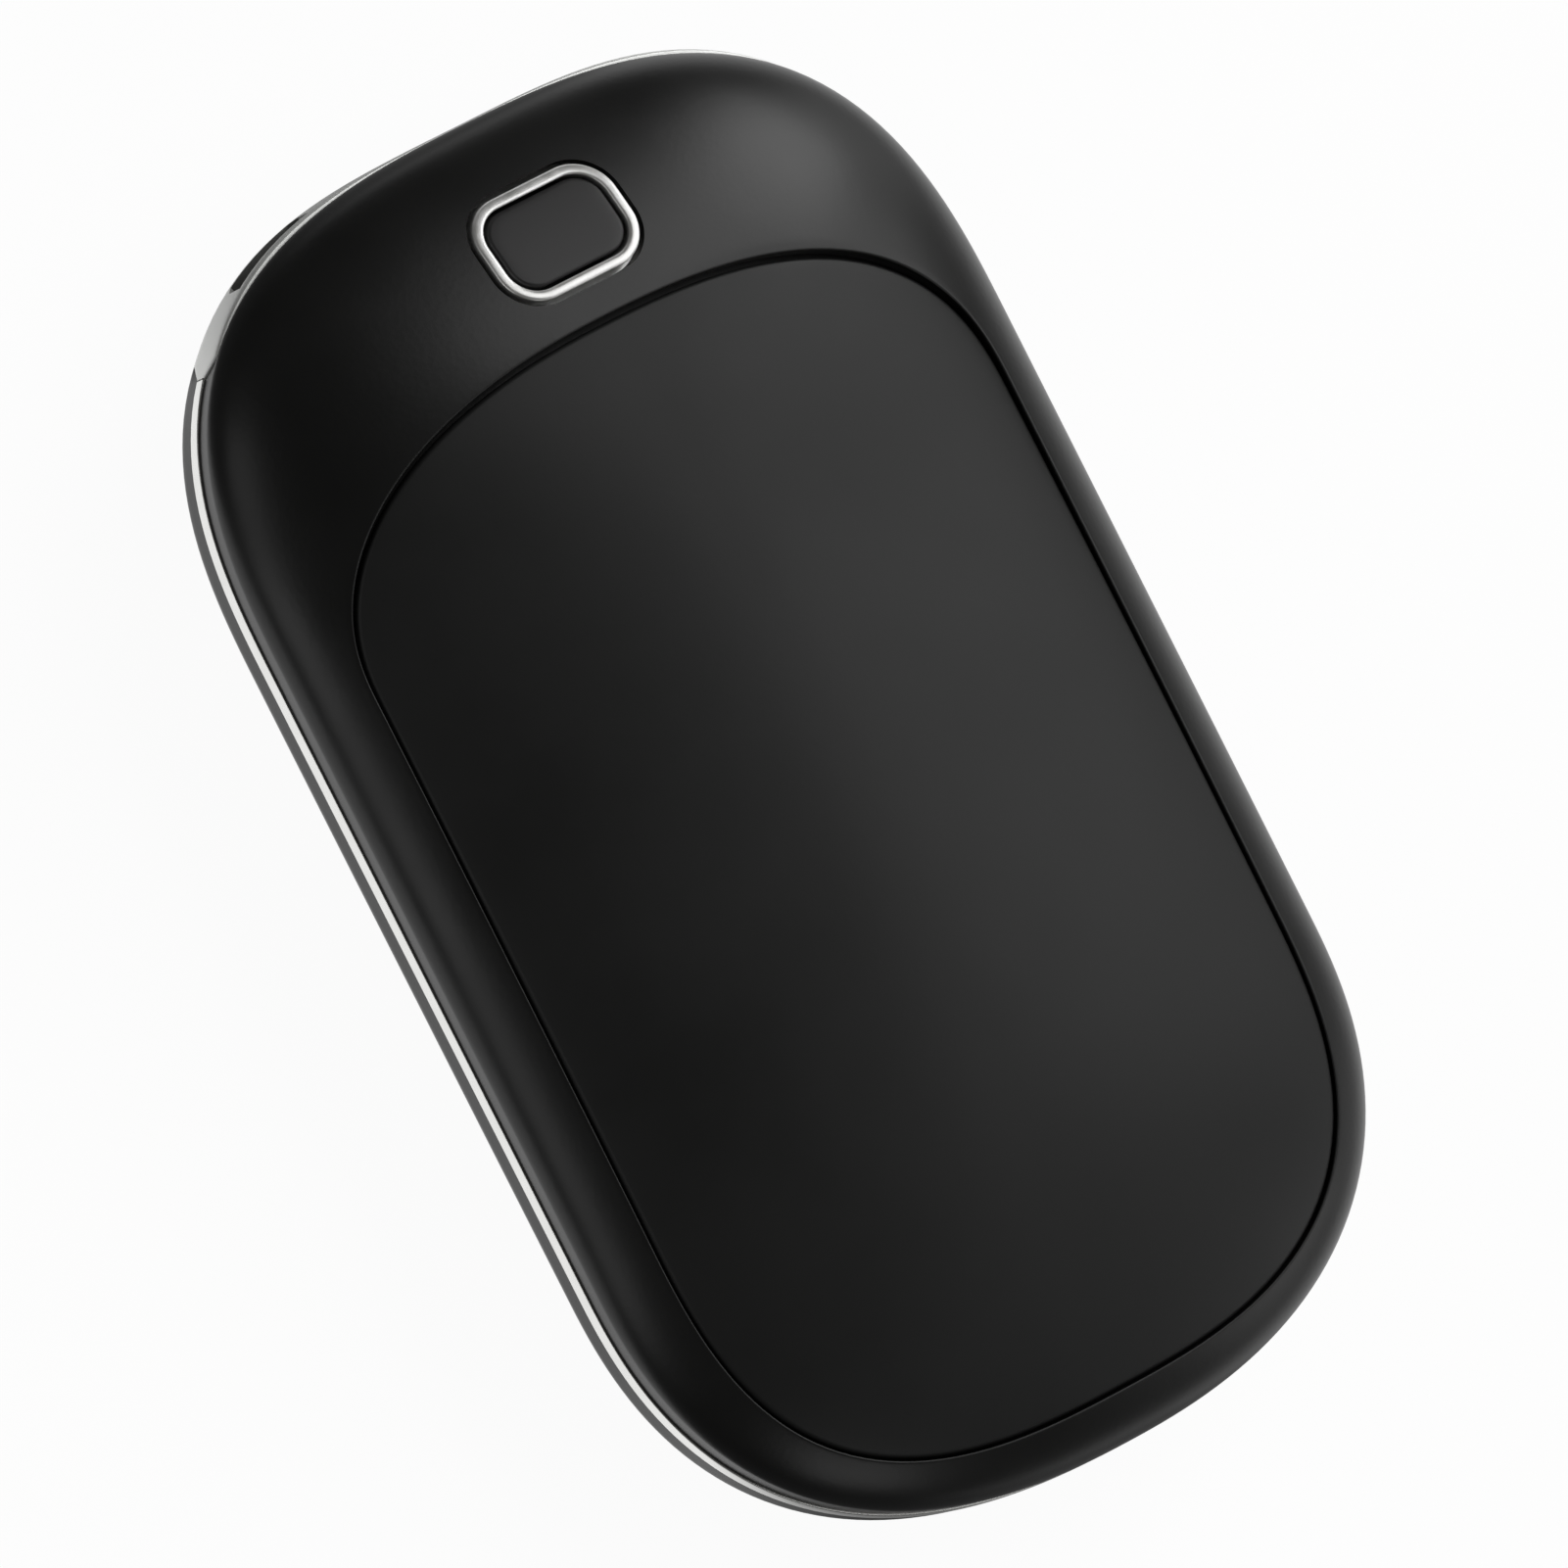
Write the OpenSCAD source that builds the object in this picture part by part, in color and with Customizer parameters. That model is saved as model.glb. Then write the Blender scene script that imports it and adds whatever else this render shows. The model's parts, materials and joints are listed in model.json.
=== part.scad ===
// Rechargeable hand warmer: a pebble-shaped case, lying on its back with the button up.
// +X runs across the case, +Y towards the button end and +Z out of the front heat plate.
// Every piece is drawn about the case's parting plane, then lifted so the back rests at Z = 0.

/* [Case] */
// Width of the case across the shells
case_w = 61.9; // [60:0.1:66]
// Length of the case from tip to tip of the shells
case_l = 103.8; // [100:0.1:108]
// Length of the case's round end at the button
top_end = 28.3; // [27.5:0.1:29]
// Length of the case's round end at the foot
foot_end = 26.6; // [25.4:0.1:27.4]
// Height of each shell's crown above its skirt
crown = 10.5; // [10.4:0.1:12]
// Drop of the ridge from its highest place to the end of the case
ridge_fall = 1.4; // [0.5:0.1:1.6]
// Wall thickness of the shells
wall = 1.8; // [1.6:0.05:2.2]
// Depth of the flat that the back plate rests on, below its crown
rest_depth = 0.5; // [0.3:0.05:0.7]

/* [Trim band] */
// Height of the bright band between the shells
band_h = 1.4; // [1.3:0.1:2]
// Height of each shell's upright skirt beside the band, which the port cap fills
skirt_h = 1.7; // [1.4:0.05:2]
// How far the band swells past the shells
band_bulge = 0.1; // [0.05:0.01:0.3]
// Thickness of the band and the port cap behind the shells' edge
band_t = 0.9; // [0.8:0.05:1]

/* [Heat plates] */
// Width of the shell beside a plate's opening
plate_side = 3.85; // [3.2:0.05:4.6]
// Distance from the middle of the button to the plate's arch
arch_drop = 6.8; // [6.4:0.1:7.4]
// Length of the shell from the case's foot to the plate
foot_gap = 3.7; // [3:0.1:4.4]
// Length of the plate's round end at the arch
arch_end = 16.7; // [16:0.1:17.4]
// Length of the plate's round end at the foot
plate_foot_end = 24.7; // [24:0.1:25.4]
// Thickness of the plates
plate_t = 0.8; // [0.6:0.05:1]
// Depth of the plate's edge below the shell along the sides
side_recess = 0.2; // [0.1:0.05:0.4]
// Depth of the plate's edge below the shell along the arch
arch_recess = 0.55; // [0.4:0.05:0.7]
// Width of the groove round the plates
groove_w = 0.3; // [0.2:0.05:0.4]
// Thickness of the heater films
film_t = 0.25; // [0.15:0.05:0.35]
// Thickness of the adhesive between a plate and its film
film_bond = 0.15; // [0.15:0.05:0.25]

/* [Button] */
// Distance from the case's tip to the middle of the button
button_gap = 9.7; // [9.3:0.1:10.1]
// Width of the ring round the button, along the middle of its rim
ring_w = 10.8; // [10:0.1:11.4]
// Length of the ring along the middle of its rim
ring_l = 7.4; // [7:0.1:7.8]
// Corner radius of the ring along the middle of its rim
ring_r = 2.7; // [2.2:0.1:3]
// Width of the ring's rim
rim_w = 0.8; // [0.6:0.05:0.9]
// How far the ring stands above the shell
rim_proud = 0.25; // [0.15:0.05:0.4]
// Travel of the button
press_travel = 0.3; // [0.2:0.05:0.4]

/* [Cells] */
// Height of the case's crown above the cells
cell_cover = 3.9; // [3.85:0.05:4.2]
// Distance from the plate's arch to the cells
cell_drop = 3.4; // [3.2:0.1:4]
// Distance from the middles of the foot screws to the cells
cell_stand = 8.1; // [8:0.1:9]
// Space between the two cells
cell_gap = 0.4; // [0.3:0.05:0.5]

/* [Electronics] */
// Thickness of the circuit board
board_t = 1; // [0.8:0.1:1.2]
// Distance from the case's side to the middle of the charging port
port_side = 14.35; // [13.9:0.05:14.9]
// Width of the charging port's metal shell
port_w = 7.4; // [7.2:0.05:7.5]
// Height of the charging port's metal shell
port_h = 2.6; // [2.4:0.05:2.7]
// Depth of the charging port's metal shell
port_l = 5.2; // [5:0.1:5.6]
// Number of status lights in the port cap
light_count = 4; // [2:1:4]
// Distance from one status light to the next
light_pitch = 2.2; // [2:0.1:2.4]
// Diameter of a status light
light_d = 1.2; // [1:0.05:1.3]
// Width of the square tact switch
switch_w = 6; // [5.8:0.1:6.2]
// Height of the tact switch's housing
switch_h = 3.5; // [3.3:0.05:3.7]

/* [Screws] */
// Diameter of the case screws' shanks
screw_d = 1.7; // [1.5:0.05:1.8]
// Length of the case screws under their heads
screw_l = 6.5; // [6.2:0.1:6.6]
// Diameter of the screws' pan heads
screw_head_d = 3.6; // [3.4:0.05:3.8]
// Height of the screws' pan heads
screw_head_h = 1.3; // [1.2:0.05:1.4]

/* [Hidden] */

// Steps round each end of an oval, and along each straight side
END_STEPS = 26;
SIDE_STEPS = 4;
// Step of the button end at which the port cap begins
CAP_STEP = 6;
// Steps from the band up to the plate's opening, and down the inside of a shell
SKIN_STEPS = 8;
INNER_STEPS = 4;
// Steps across the swell of the band
BULGE_STEPS = 4;
// Steps round each corner of the button
CORNER_STEPS = 7;
// Sides and rings of a lead
LEAD_SIDES = 8;
LEAD_RINGS = 10;

// Small clearances: between bonded pieces, between fitted pieces, and an overrun for cuts
bond = 0.05;
fit = 0.1;
cut = 1;

// Exponents of the case's round ends, and of its crown from the band to the ridge
case_top_power = 2.73;
case_foot_power = 2.38;
crown_power = 1.72;
// Share of the half width over which the ridge is rounded off
ridge_soft_share = 0.15;
// Share of a round end over which the crown eases into it
end_soft_share = 0.3;
// How quickly the crown returns to the plain outline
end_soft_power = 6;
// Place of the highest point of the ridge, as a share of half the length
ridge_share = 0.17;

// Exponents of the plate's round ends
plate_arch_power = 2.36;
plate_foot_power = 2.78;
// The plate sinks towards the arch between these shares of the arch's distance
sink_shares = [-0.28, 0.85];
// The window under the plate, as a share of the plate
window_share = 0.87;
// Rings that carry the crowns of the plate and of the film on its back, as shares of the plate
film_shares = [0.04, 0.25, 0.45, 0.65, 0.82];
plate_shares = concat(film_shares, [0.94]);
// Radius of the plate's rim
plate_round = 0.25;

// Ledge that the plate is bonded to, and where the shell's inside leaves it
ledge_t = 1.2;
inner_start_share = 0.85;

// Seam between the band and each shell
seam = 0.08;
// Exponent of the band's rounded section, and how far its edges lie inside the shells' skirts
band_power = 3;
skirt_in = 0.08;

// Lap of the shells' flanges behind the band
lap = 0.55;
lap_gap = 0.05;

tip = case_l / 2;
plate_w = case_w - 2 * plate_side;
button_y = tip - button_gap;
arch_y = button_y - arch_drop;
foot_y = tip - foot_gap;
port_x = case_w / 2 - port_side;

// An oval is [half width, button tip, foot tip, button end, foot end, two exponents]
case_oval = [case_w / 2, tip, tip, top_end, foot_end, case_top_power, case_foot_power];
plate_oval = [plate_w / 2, arch_y, foot_y, arch_end, plate_foot_end, plate_arch_power,
    plate_foot_power];

half_band = band_h / 2;
// Height of the skirts' upper edge above the parting plane, and a height past every face
edge_z = half_band + skirt_h;
past_top = crown + 2 * edge_z;
// Heights of the plates' outer faces above the parting plane, in their middle
plate_top = plate_z(0, 0, past_top);
rest_z = plate_top - rest_depth;
no_flat = plate_top + cut;
// A hair of extra metal that the flat on the back is cut from
flat_stock = 0.05;

// The cells fill the case under its crown and its films, and between the screws beside them:
// 18 mm across and 65 mm long. They stop short of the foot screws
foot_in_share = 0.415;
foot_screw_in = foot_in_share * foot_end;
screw_side = 9.35;
screw_x = case_w / 2 - screw_side;
boss_r = 2.9;
boss_stand = 0.25;
film_room = 2.45;
cell_r = min(edge_z + crown - cell_cover,
    edge_z + crown - side_recess - plate_t - film_bond - film_t - film_room,
    (screw_x - boss_r - boss_stand - cell_gap / 2) / 2);
cell_x = cell_r + cell_gap / 2;
cell_front_y = arch_y - cell_drop;
cell_back_y = tip - foot_screw_in - cell_stand;
cell_l = cell_front_y + cell_back_y;
tab_t = 0.2;
tab_w = 5;
tab_room = 0.5;
cap_pole_d = 6;
cap_pole_h = 0.3;

// Cradle that holds the cells and the board
cradle_fit = 0.15;
cradle_side = 1.8;
cradle_end = 1.2;
cradle_clear = 1.95;
cradle_high = 1;
web_top = -3;
web_w = 9;
cradle_half_w = cell_x + cell_r + cradle_side;
cradle_low = inner_z(cradle_half_w, 0) - cradle_clear;
cradle_back = -cell_back_y - tab_room - cradle_end;
cradle_front = cell_front_y + tab_room + cradle_end;

// Circuit board, its shelf and its pegs
board_top = -port_h / 2;
board_bottom = board_top - board_t;
board_gap = 0.6;
board_back = cradle_front + fit;
board_inset = wall + board_gap;
shelf_t = 1.2;
shelf_half_w = 11;
peg_d = 1.8;
peg_x = 8.5;
peg_in = 2.2;
peg_y = board_back + peg_in;
peg_h = 0.6;

// Case screws: two beside the cells and two past their foot. Seat of the head, ears of the
// cradle, and bosses and posts of the shells
ear_t = 1.6;
ear_r = 3;
ear_arm = 3.7;
seat_z = 2.8;
post_r = 2.4;
screw_in = 6;
foot_screw_share = 0.6;
screw_y = cell_front_y - screw_in;
foot_screw_x = foot_screw_share * case_w / 2;
foot_screw_y = foot_screw_in - tip;
screw_places = [[screw_x, screw_y], [-screw_x, screw_y],
    [foot_screw_x, foot_screw_y], [-foot_screw_x, foot_screw_y]];
screw_clear = 0.25;
pilot_clear = 0.05;
pilot_extra = 0.3;
head_clear = 0.2;
recess_d = 1.6;
recess_depth = 0.7;

// Button: gaps round the ring and the cap, and depths below the shell's surface
ring_gap = 0.25;
cap_gap = 0.25;
bezel_flange = 0.9;
bezel_flange_t = 0.8;
cap_proud = 0.08;
bezel_low = wall + fit;
cap_depth = bezel_low + bezel_flange_t + fit;
cap_flange = 0.9;
cap_flange_t = 0.7;
cap_round = 0.25;
stem_d = 3;
plunger_d = 3.4;
plunger_h = 0.8;
stem_touch = 0.02;

// Port cap's mouths: clearances round the socket and the lights
port_clear = 0.15;
socket_t = 0.3;
tongue_t = 0.7;
tongue_w = 3.9;
tongue_l = 3.6;
port_chamfer = 0.7;
light_clear = 0.05;
// Room for the case's round between its inside and the light guide's bar
guide_room = 0.7;
guide_bar = 1.4;
guide_bar_h = 2;
led_w = 1.2;
led_l = 0.8;
led_h = 1.9;

// Parts on the board: sizes and places from the board's back edge
coil_d = 6;
coil_h = 3;
coil_base = 6.6;
coil_base_h = 0.6;
coil_at = [10.2, 6.8];
chip_h = 1;
chip_sizes = [[4, 4], [3.2, 2.6], [2.6, 1.6]];
chip_places = [[-7, 8], [-13, 3], [5.2, 4]];

// Thermistor bead, bonded to the front film near the cells' upper ends
bead_d = 1.5;
bead_l = 3;
bead_in = 10.1;
bead_y = cell_front_y - bead_in;

// Foam between the cells and the heater films, short of the bead and of the cells' lower ends
foam_t = 0.7;
foam_half_w = 10;
foam_end = 6;
foam_power = 3;
foam_below_bead = 4;
foam_in = 13;
foam_oval = [foam_half_w, bead_y - foam_below_bead, cell_back_y - foam_in, foam_end, foam_end,
    foam_power, foam_power];
lead_d = 1;
thin_lead_d = 0.7;

lift = rest_z;

function mix(a, b, t) = a * (1 - t) + b * t;
function clamp01(t) = min(max(t, 0), 1);
function ease(t) = t * t * (3 - 2 * t);

// The same oval drawn a distance inside, and drawn smaller about its middle line
function inset(o, d) = [o[0] - d, o[1] - d, o[2] - d, o[3] - d, o[4] - d, o[5], o[6]];
function shrink(o, g) =
    [o[0] * g, o[1] - o[3] * (1 - g), o[2] - o[4] * (1 - g), o[3] * g, o[4] * g, o[5], o[6]];

// A point of a round end, at a polar angle
function end_xy(a, b, n, t) =
    let (r = pow(pow(abs(cos(t)), n) + pow(abs(sin(t)), n), -1 / n)) [a * r * cos(t), b * r * sin(t)];

// A point of an oval: v runs 0 to 1 over the button end, to 2 down the left side,
// to 3 over the foot and to 4 up the right side
function oval_xy(o, v) =
    let (turn = v - 4 * floor(v / 4), part = floor(turn), f = turn - part,
        top = o[1] - o[3], foot = o[4] - o[2])
    part == 0 ? [0, top] + end_xy(o[0], o[3], o[5], 180 * f) :
    part == 1 ? [-o[0], mix(top, foot, f)] :
    part == 2 ? [0, foot] - end_xy(o[0], o[4], o[6], 180 * f) :
    [o[0], mix(foot, top, f)];

// 0 on an oval's middle line and 1 on its outline
function gauge(o, x, y) =
    let (d = y > 0 ? max(y - o[1] + o[3], 0) / o[3] : max(-y - o[2] + o[4], 0) / o[4],
        n = y > 0 ? o[5] : o[6])
    pow(pow(abs(x) / o[0], n) + pow(d, n), 1 / n);

// The same gauge with round ends that start gently, and the plain one at the outline
function ease_in(d, soft) = (d + sqrt(d * d + soft * soft)) / 2;
function soft_gauge(o, x, y) =
    let (tip = y > 0 ? o[1] : o[2], end = y > 0 ? o[3] : o[4], n = y > 0 ? o[5] : o[6],
        soft = end * end_soft_share, d = ease_in(abs(y) - tip + end, soft) / ease_in(end, soft),
        g = min(gauge(o, x, y), 1))
    mix(pow(pow(abs(x) / o[0], n) + pow(d, n), 1 / n), g, pow(g, end_soft_power));

// Height of a crown that is drawn over an oval
function crown_z(o, high, x, y) =
    let (g = min(soft_gauge(o, x, y), 1), soft = ridge_soft_share * ridge_soft_share,
        fall = ridge_fall * pow(2 * y / case_l - ridge_share, 2))
    (high - fall) * pow(1 - pow((g * g + soft) / (1 + soft), crown_power / 2), 1 / crown_power);

// Heights above the parting plane: the shell's two faces, the plate's face and the ledge
function skin_z(x, y) = edge_z + crown_z(case_oval, crown, x, y);
function inner_z(x, y) = edge_z + crown_z(inset(case_oval, wall), crown - wall, x, y);
function sink(y) = mix(side_recess, arch_recess,
    ease(clamp01((y / arch_y - sink_shares[0]) / (sink_shares[1] - sink_shares[0]))));
function plate_z(x, y, flat) = min(skin_z(x, y) - sink(y), flat);
function ledge_z(x, y) = skin_z(x, y) - sink(y) - plate_t - fit;

// Stations round a whole oval
stations = concat(
    [for (i = [0:END_STEPS - 1]) i / END_STEPS], [for (i = [0:SIDE_STEPS - 1]) 1 + i / SIDE_STEPS],
    [for (i = [0:END_STEPS - 1]) 2 + i / END_STEPS], [for (i = [0:SIDE_STEPS - 1]) 3 + i / SIDE_STEPS]);

// The shells also have stations where the port cap has risen to its full height
cap_from = CAP_STEP / END_STEPS;
cap_to = 1 - cap_from;
cap_rise_share = 0.35;
cap_rise = cap_rise_share / END_STEPS;
shell_stations = concat(
    [for (i = [0:CAP_STEP]) i / END_STEPS], [cap_from + cap_rise],
    [for (i = [CAP_STEP + 1:END_STEPS - CAP_STEP - 1]) i / END_STEPS], [cap_to - cap_rise],
    [for (i = [END_STEPS - CAP_STEP:END_STEPS - 1]) i / END_STEPS],
    [for (v = stations) if (v >= 1) v]);

function two_faces(a, b, c, d) = [[a, b, c], [a, c, d]];

// Faces between neighbouring sections, of which the last joins the first when closed
function wall_faces(m, n, rows, closed) =
    [for (i = [0:rows - 1], j = [0:closed ? n - 1 : n - 2])
        let (p = (i + 1) % m, q = (j + 1) % n)
        each two_faces(i * n + j, i * n + q, p * n + q, p * n + j)];

// A loop of closed sections, as a band or a shell with a window
module loop_solid(grid) {
    m = len(grid);
    n = len(grid[0]);
    polyhedron([for (s = grid) each s], wall_faces(m, n, m, true));
}

// A run of closed sections with flat ends
module run_solid(grid) {
    m = len(grid);
    n = len(grid[0]);
    ends = [[for (j = [n - 1:-1:0]) j], [for (j = [0:n - 1]) (m - 1) * n + j]];
    polyhedron([for (s = grid) each s], concat(wall_faces(m, n, m - 1, true), ends));
}

// A lens: open sections from the middle of its underside round the rim to the middle of its top.
// Each middle is closed by strips between the left and the right half.
module lens_solid(grid, tip) {
    m = len(grid);
    n = len(grid[0]);
    half = m / 2;
    left = [for (k = [0:half]) (tip + k) % m];
    right = [for (k = [0:half]) (tip - k + m) % m];
    function strips(j, up) = [for (k = [0:half - 1])
        let (a = left[k] * n + j, b = right[k] * n + j,
            c = right[k + 1] * n + j, d = left[k + 1] * n + j)
        each [for (f = two_faces(a, b, c, d))
            if (f[0] != f[1] && f[1] != f[2] && f[0] != f[2]) up ? f : [f[2], f[1], f[0]]]];
    polyhedron([for (s = grid) each s],
        concat(wall_faces(m, n, m, false), strips(n - 1, true), strips(0, false)));
}

module lifted() {
    translate([0, 0, lift]) children();
}

// The rear half of the case is the front half turned over
module on_back() {
    mirror([0, 0, 1]) children();
}

// Lower edge of a shell's skirt at a station: its distance inside the case's outline and its
// height. The skirt all but ends at the port cap
skirt_least_share = 0.05;
function skirt_share(v) = mix(1, skirt_least_share, clamp01((min(v, 1 - v) - cap_from) / cap_rise));
function skirt_edge(v) = [skirt_in, edge_z - skirt_h * skirt_share(v)];

// Shells

// Section of a shell at a station: up the skin, over the ledge, back along the inside and
// round the flange to the skirt
function shell_section(v, flange) =
    let (edge = oval_xy(case_oval, v), mouth = oval_xy(plate_oval, v),
        window = oval_xy(shrink(plate_oval, window_share), v),
        root = oval_xy(inset(case_oval, wall), v))
    concat(
        [for (k = [0:SKIN_STEPS])
            let (p = mix(edge, mouth, pow(k / SKIN_STEPS, 2))) [p[0], p[1], skin_z(p[0], p[1])]],
        [[mouth[0], mouth[1], ledge_z(mouth[0], mouth[1])],
            [window[0], window[1], ledge_z(window[0], window[1])],
            [window[0], window[1], ledge_z(window[0], window[1]) - ledge_t]],
        [for (k = [0:INNER_STEPS])
            let (s = inner_start_share * pow(1 - k / INNER_STEPS, 2), p = mix(root, mouth, s))
            [p[0], p[1], inner_z(p[0], p[1])]],
        [for (f = concat(flange, [[flange_out, skirt_edge(v)[1]], skirt_edge(v)]))
            let (p = oval_xy(inset(case_oval, f[0]), v)) [p[0], p[1], f[1]]]);

// Depths behind the band: its back, the lap's two faces and the shell's inside
flange_out = band_t + lap_gap;
lap_mid = (flange_out + wall) / 2;
front_flange = [[wall, lap_gap], [lap_mid - lap_gap / 2, lap_gap],
    [lap_mid - lap_gap / 2, -lap], [flange_out, -lap]];
rear_flange = [[wall, lap_gap], [lap_mid + lap_gap / 2, lap_gap],
    [lap_mid + lap_gap / 2, lap + lap_gap], [flange_out, lap + lap_gap]];

module shell_body(flange) {
    loop_solid([for (v = shell_stations) shell_section(v, flange)]);
}

// Lowest place of the ledge round a boss, so that its end stays under the plate
function boss_top(p, r) =
    min([for (t = [0:45:315]) ledge_z(abs(p[0]) + r * cos(t), p[1] + r * sin(t))]) - bond;

module screw_posts() {
    for (p = screw_places)
        translate([p[0], p[1], ear_t / 2 + bond])
            cylinder(r = post_r, h = boss_top(p, post_r) - ear_t / 2 - bond);
}

module pilot_holes() {
    for (p = screw_places)
        translate([p[0], p[1], 0])
            cylinder(r = screw_d / 2 + pilot_clear, h = screw_l - seat_z + pilot_extra);
}

module screw_bosses() {
    for (p = screw_places)
        translate([p[0], p[1], ear_t / 2 + bond])
            cylinder(r = boss_r, h = boss_top(p, boss_r) - ear_t / 2 - bond);
}

module boss_bores() {
    for (p = screw_places)
        translate([p[0], p[1], 0]) {
            cylinder(r = screw_d / 2 + screw_clear, h = past_top);
            translate([0, 0, seat_z]) cylinder(r = screw_head_d / 2 + head_clear, h = crown);
        }
}

module front_shell() {
    color("#1d1e1e") lifted() difference() {
        union() {
            shell_body(front_flange);
            screw_posts();
        }
        pilot_holes();
        button_prism(rim_w / 2 + ring_gap, past_top);
        port_mouth(port_clear);
        light_mouths(light_clear);
    }
}

module rear_shell() {
    color("#1d1e1e") lifted() difference() {
        on_back() difference() {
            union() {
                shell_body(rear_flange);
                screw_bosses();
            }
            boss_bores();
        }
        port_mouth(port_clear);
        light_mouths(light_clear);
    }
}

// Trim band and port cap

// Section at a station, as depths inside the case's outline and heights: behind the skirts,
// and swollen past them in a round with flat sides
function rounded(x) = sign(x) * pow(abs(x), 2 / band_power);
function band_section(v) =
    let (edge = skirt_edge(v), half = edge[1] - seam)
    concat([[band_t, -half]],
        [for (k = [0:BULGE_STEPS])
            let (t = 180 * k / BULGE_STEPS - 90)
            [edge[0] - (band_bulge + edge[0]) * rounded(cos(t)), half * rounded(sin(t))]],
        [[band_t, half]]);
function band_points(v) =
    [for (s = band_section(v)) let (p = oval_xy(inset(case_oval, s[0]), v)) [p[0], p[1], s[1]]];

// The cap fills the band between two stations, and the joint at its ends is a share of a step
cap_joint_share = 0.03;
cap_stations = [for (v = shell_stations) if (v >= cap_from && v <= cap_to) v];
band_stations = concat(
    [for (i = [0:CAP_STEP]) cap_to + max(i, cap_joint_share) / END_STEPS],
    [for (i = [1:SIDE_STEPS]) 1 + i / SIDE_STEPS],
    [for (i = [1:END_STEPS]) 2 + i / END_STEPS],
    [for (i = [1:SIDE_STEPS]) 3 + i / SIDE_STEPS],
    [for (i = [1:CAP_STEP]) 4 + min(i, CAP_STEP - cap_joint_share) / END_STEPS]);

module trim_band() {
    color("#d9d9d6") lifted() run_solid([for (v = band_stations) band_points(v)]);
}

module port_cap() {
    color("#c9cac6") lifted() difference() {
        run_solid([for (v = cap_stations) band_points(v)]);
        port_mouth(port_clear);
        light_mouths(light_clear);
    }
}

// Middle of the port on the case's outline, and the way it faces
port_share = port_x / case_oval[0];
port_rise = pow(1 - pow(port_share, case_oval[5]), 1 / case_oval[5]);
port_at = [port_x, tip - case_oval[3] * (1 - port_rise)];
port_turn = atan(case_oval[3] / case_oval[0] * pow(port_share / port_rise, case_oval[5] - 1));

// A frame on the cap, with +Y out of it: the port's on the left and the lights' on the right
module at_port() {
    translate([-port_at[0], port_at[1]]) rotate([0, 0, port_turn]) children();
}
module at_lights() {
    translate([port_at[0], port_at[1]]) rotate([0, 0, -port_turn]) children();
}

// Outline of the socket's mouth, with its two lower corners cut
module port_outline(grow) {
    x = port_w / 2 + grow;
    z = port_h / 2 + grow;
    polygon([[-x, z], [-x, port_chamfer - z], [port_chamfer - x, -z], [x - port_chamfer, -z],
        [x, port_chamfer - z], [x, z]]);
}

// A shape drawn on the cap, run along the way that the port faces
module along_port(from, to) {
    translate([0, to, 0]) rotate([90, 0, 0]) linear_extrude(to - from) children();
}

port_back = -(wall + fit + port_l);
module port_mouth(grow) {
    at_port() along_port(-(wall + 2 * cut), 2 * cut) port_outline(grow);
}

function light_x(i) = (i - (light_count - 1) / 2) * light_pitch;
module light_mouths(grow) {
    at_lights() for (i = [0:light_count - 1])
        translate([light_x(i), 2 * cut, 0]) rotate([90, 0, 0])
            cylinder(r = light_d / 2 + grow, h = wall + 4 * cut);
}

// Heat plates, heater films and foam

// Section of a sheet that follows the plate: depths of its two faces below the plate's
function sheet_point(g, v, depth, flat) =
    let (p = oval_xy(shrink(inset(plate_oval, groove_w), g), v))
    [p[0], p[1], plate_z(p[0], p[1], flat) - depth];
function plate_section(v, flat) =
    let (rim = oval_xy(inset(plate_oval, groove_w), v),
        top = oval_xy(inset(plate_oval, groove_w + plate_round), v),
        z = plate_z(rim[0], rim[1], flat))
    concat([for (g = plate_shares) sheet_point(g, v, plate_t, flat)],
        [[rim[0], rim[1], z - plate_t], [rim[0], rim[1], z - plate_round],
            [top[0], top[1], plate_z(top[0], top[1], flat)]],
        [for (i = [len(plate_shares) - 1:-1:0]) sheet_point(plate_shares[i], v, 0, flat)]);
film_depth = plate_t + film_bond;
function film_section(v, flat) =
    concat([for (g = film_shares) sheet_point(g, v, film_depth + film_t, flat)],
        [for (i = [len(film_shares) - 1:-1:0]) sheet_point(film_shares[i], v, film_depth, flat)]);

module heat_plate(flat) {
    lens_solid([for (v = stations) plate_section(v, flat)], END_STEPS / 2);
}
module heater_film(flat) {
    lens_solid([for (v = stations) film_section(v, flat)], END_STEPS / 2);
}

module front_heat_plate() {
    color("#242525") lifted() heat_plate(no_flat);
}

module rear_heat_plate() {
    color("#242525") lifted() on_back() difference() {
        heat_plate(rest_z + flat_stock);
        translate([-case_w / 2, -case_l / 2, rest_z]) cube([case_w, case_l, cut]);
    }
}

module front_heater_film() {
    color("#c8772b") lifted() heater_film(no_flat);
}

module rear_heater_film() {
    color("#c8772b") lifted() on_back() heater_film(rest_z + flat_stock);
}

module foam_pad() {
    translate([0, 0, cell_r + bond]) linear_extrude(foam_t)
        polygon([for (v = stations) oval_xy(foam_oval, v)]);
}
module front_foam_pad() {
    color("#e6e2d4") lifted() foam_pad();
}
module rear_foam_pad() {
    color("#e6e2d4") lifted() on_back() foam_pad();
}

// Button

// Outline of the button ring, grown by an amount: straight sides and round corners
function ring_xy(grow) =
    [for (q = [0:3], i = [0:CORNER_STEPS])
        let (t = 90 * q + 90 * i / CORNER_STEPS, sx = q == 0 || q == 3 ? 1 : -1, sy = q < 2 ? 1 : -1)
        [sx * (ring_w / 2 - ring_r) + (ring_r + grow) * cos(t),
            button_y + sy * (ring_l / 2 - ring_r) + (ring_r + grow) * sin(t)]];
ring_points = 4 * (CORNER_STEPS + 1);

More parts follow.
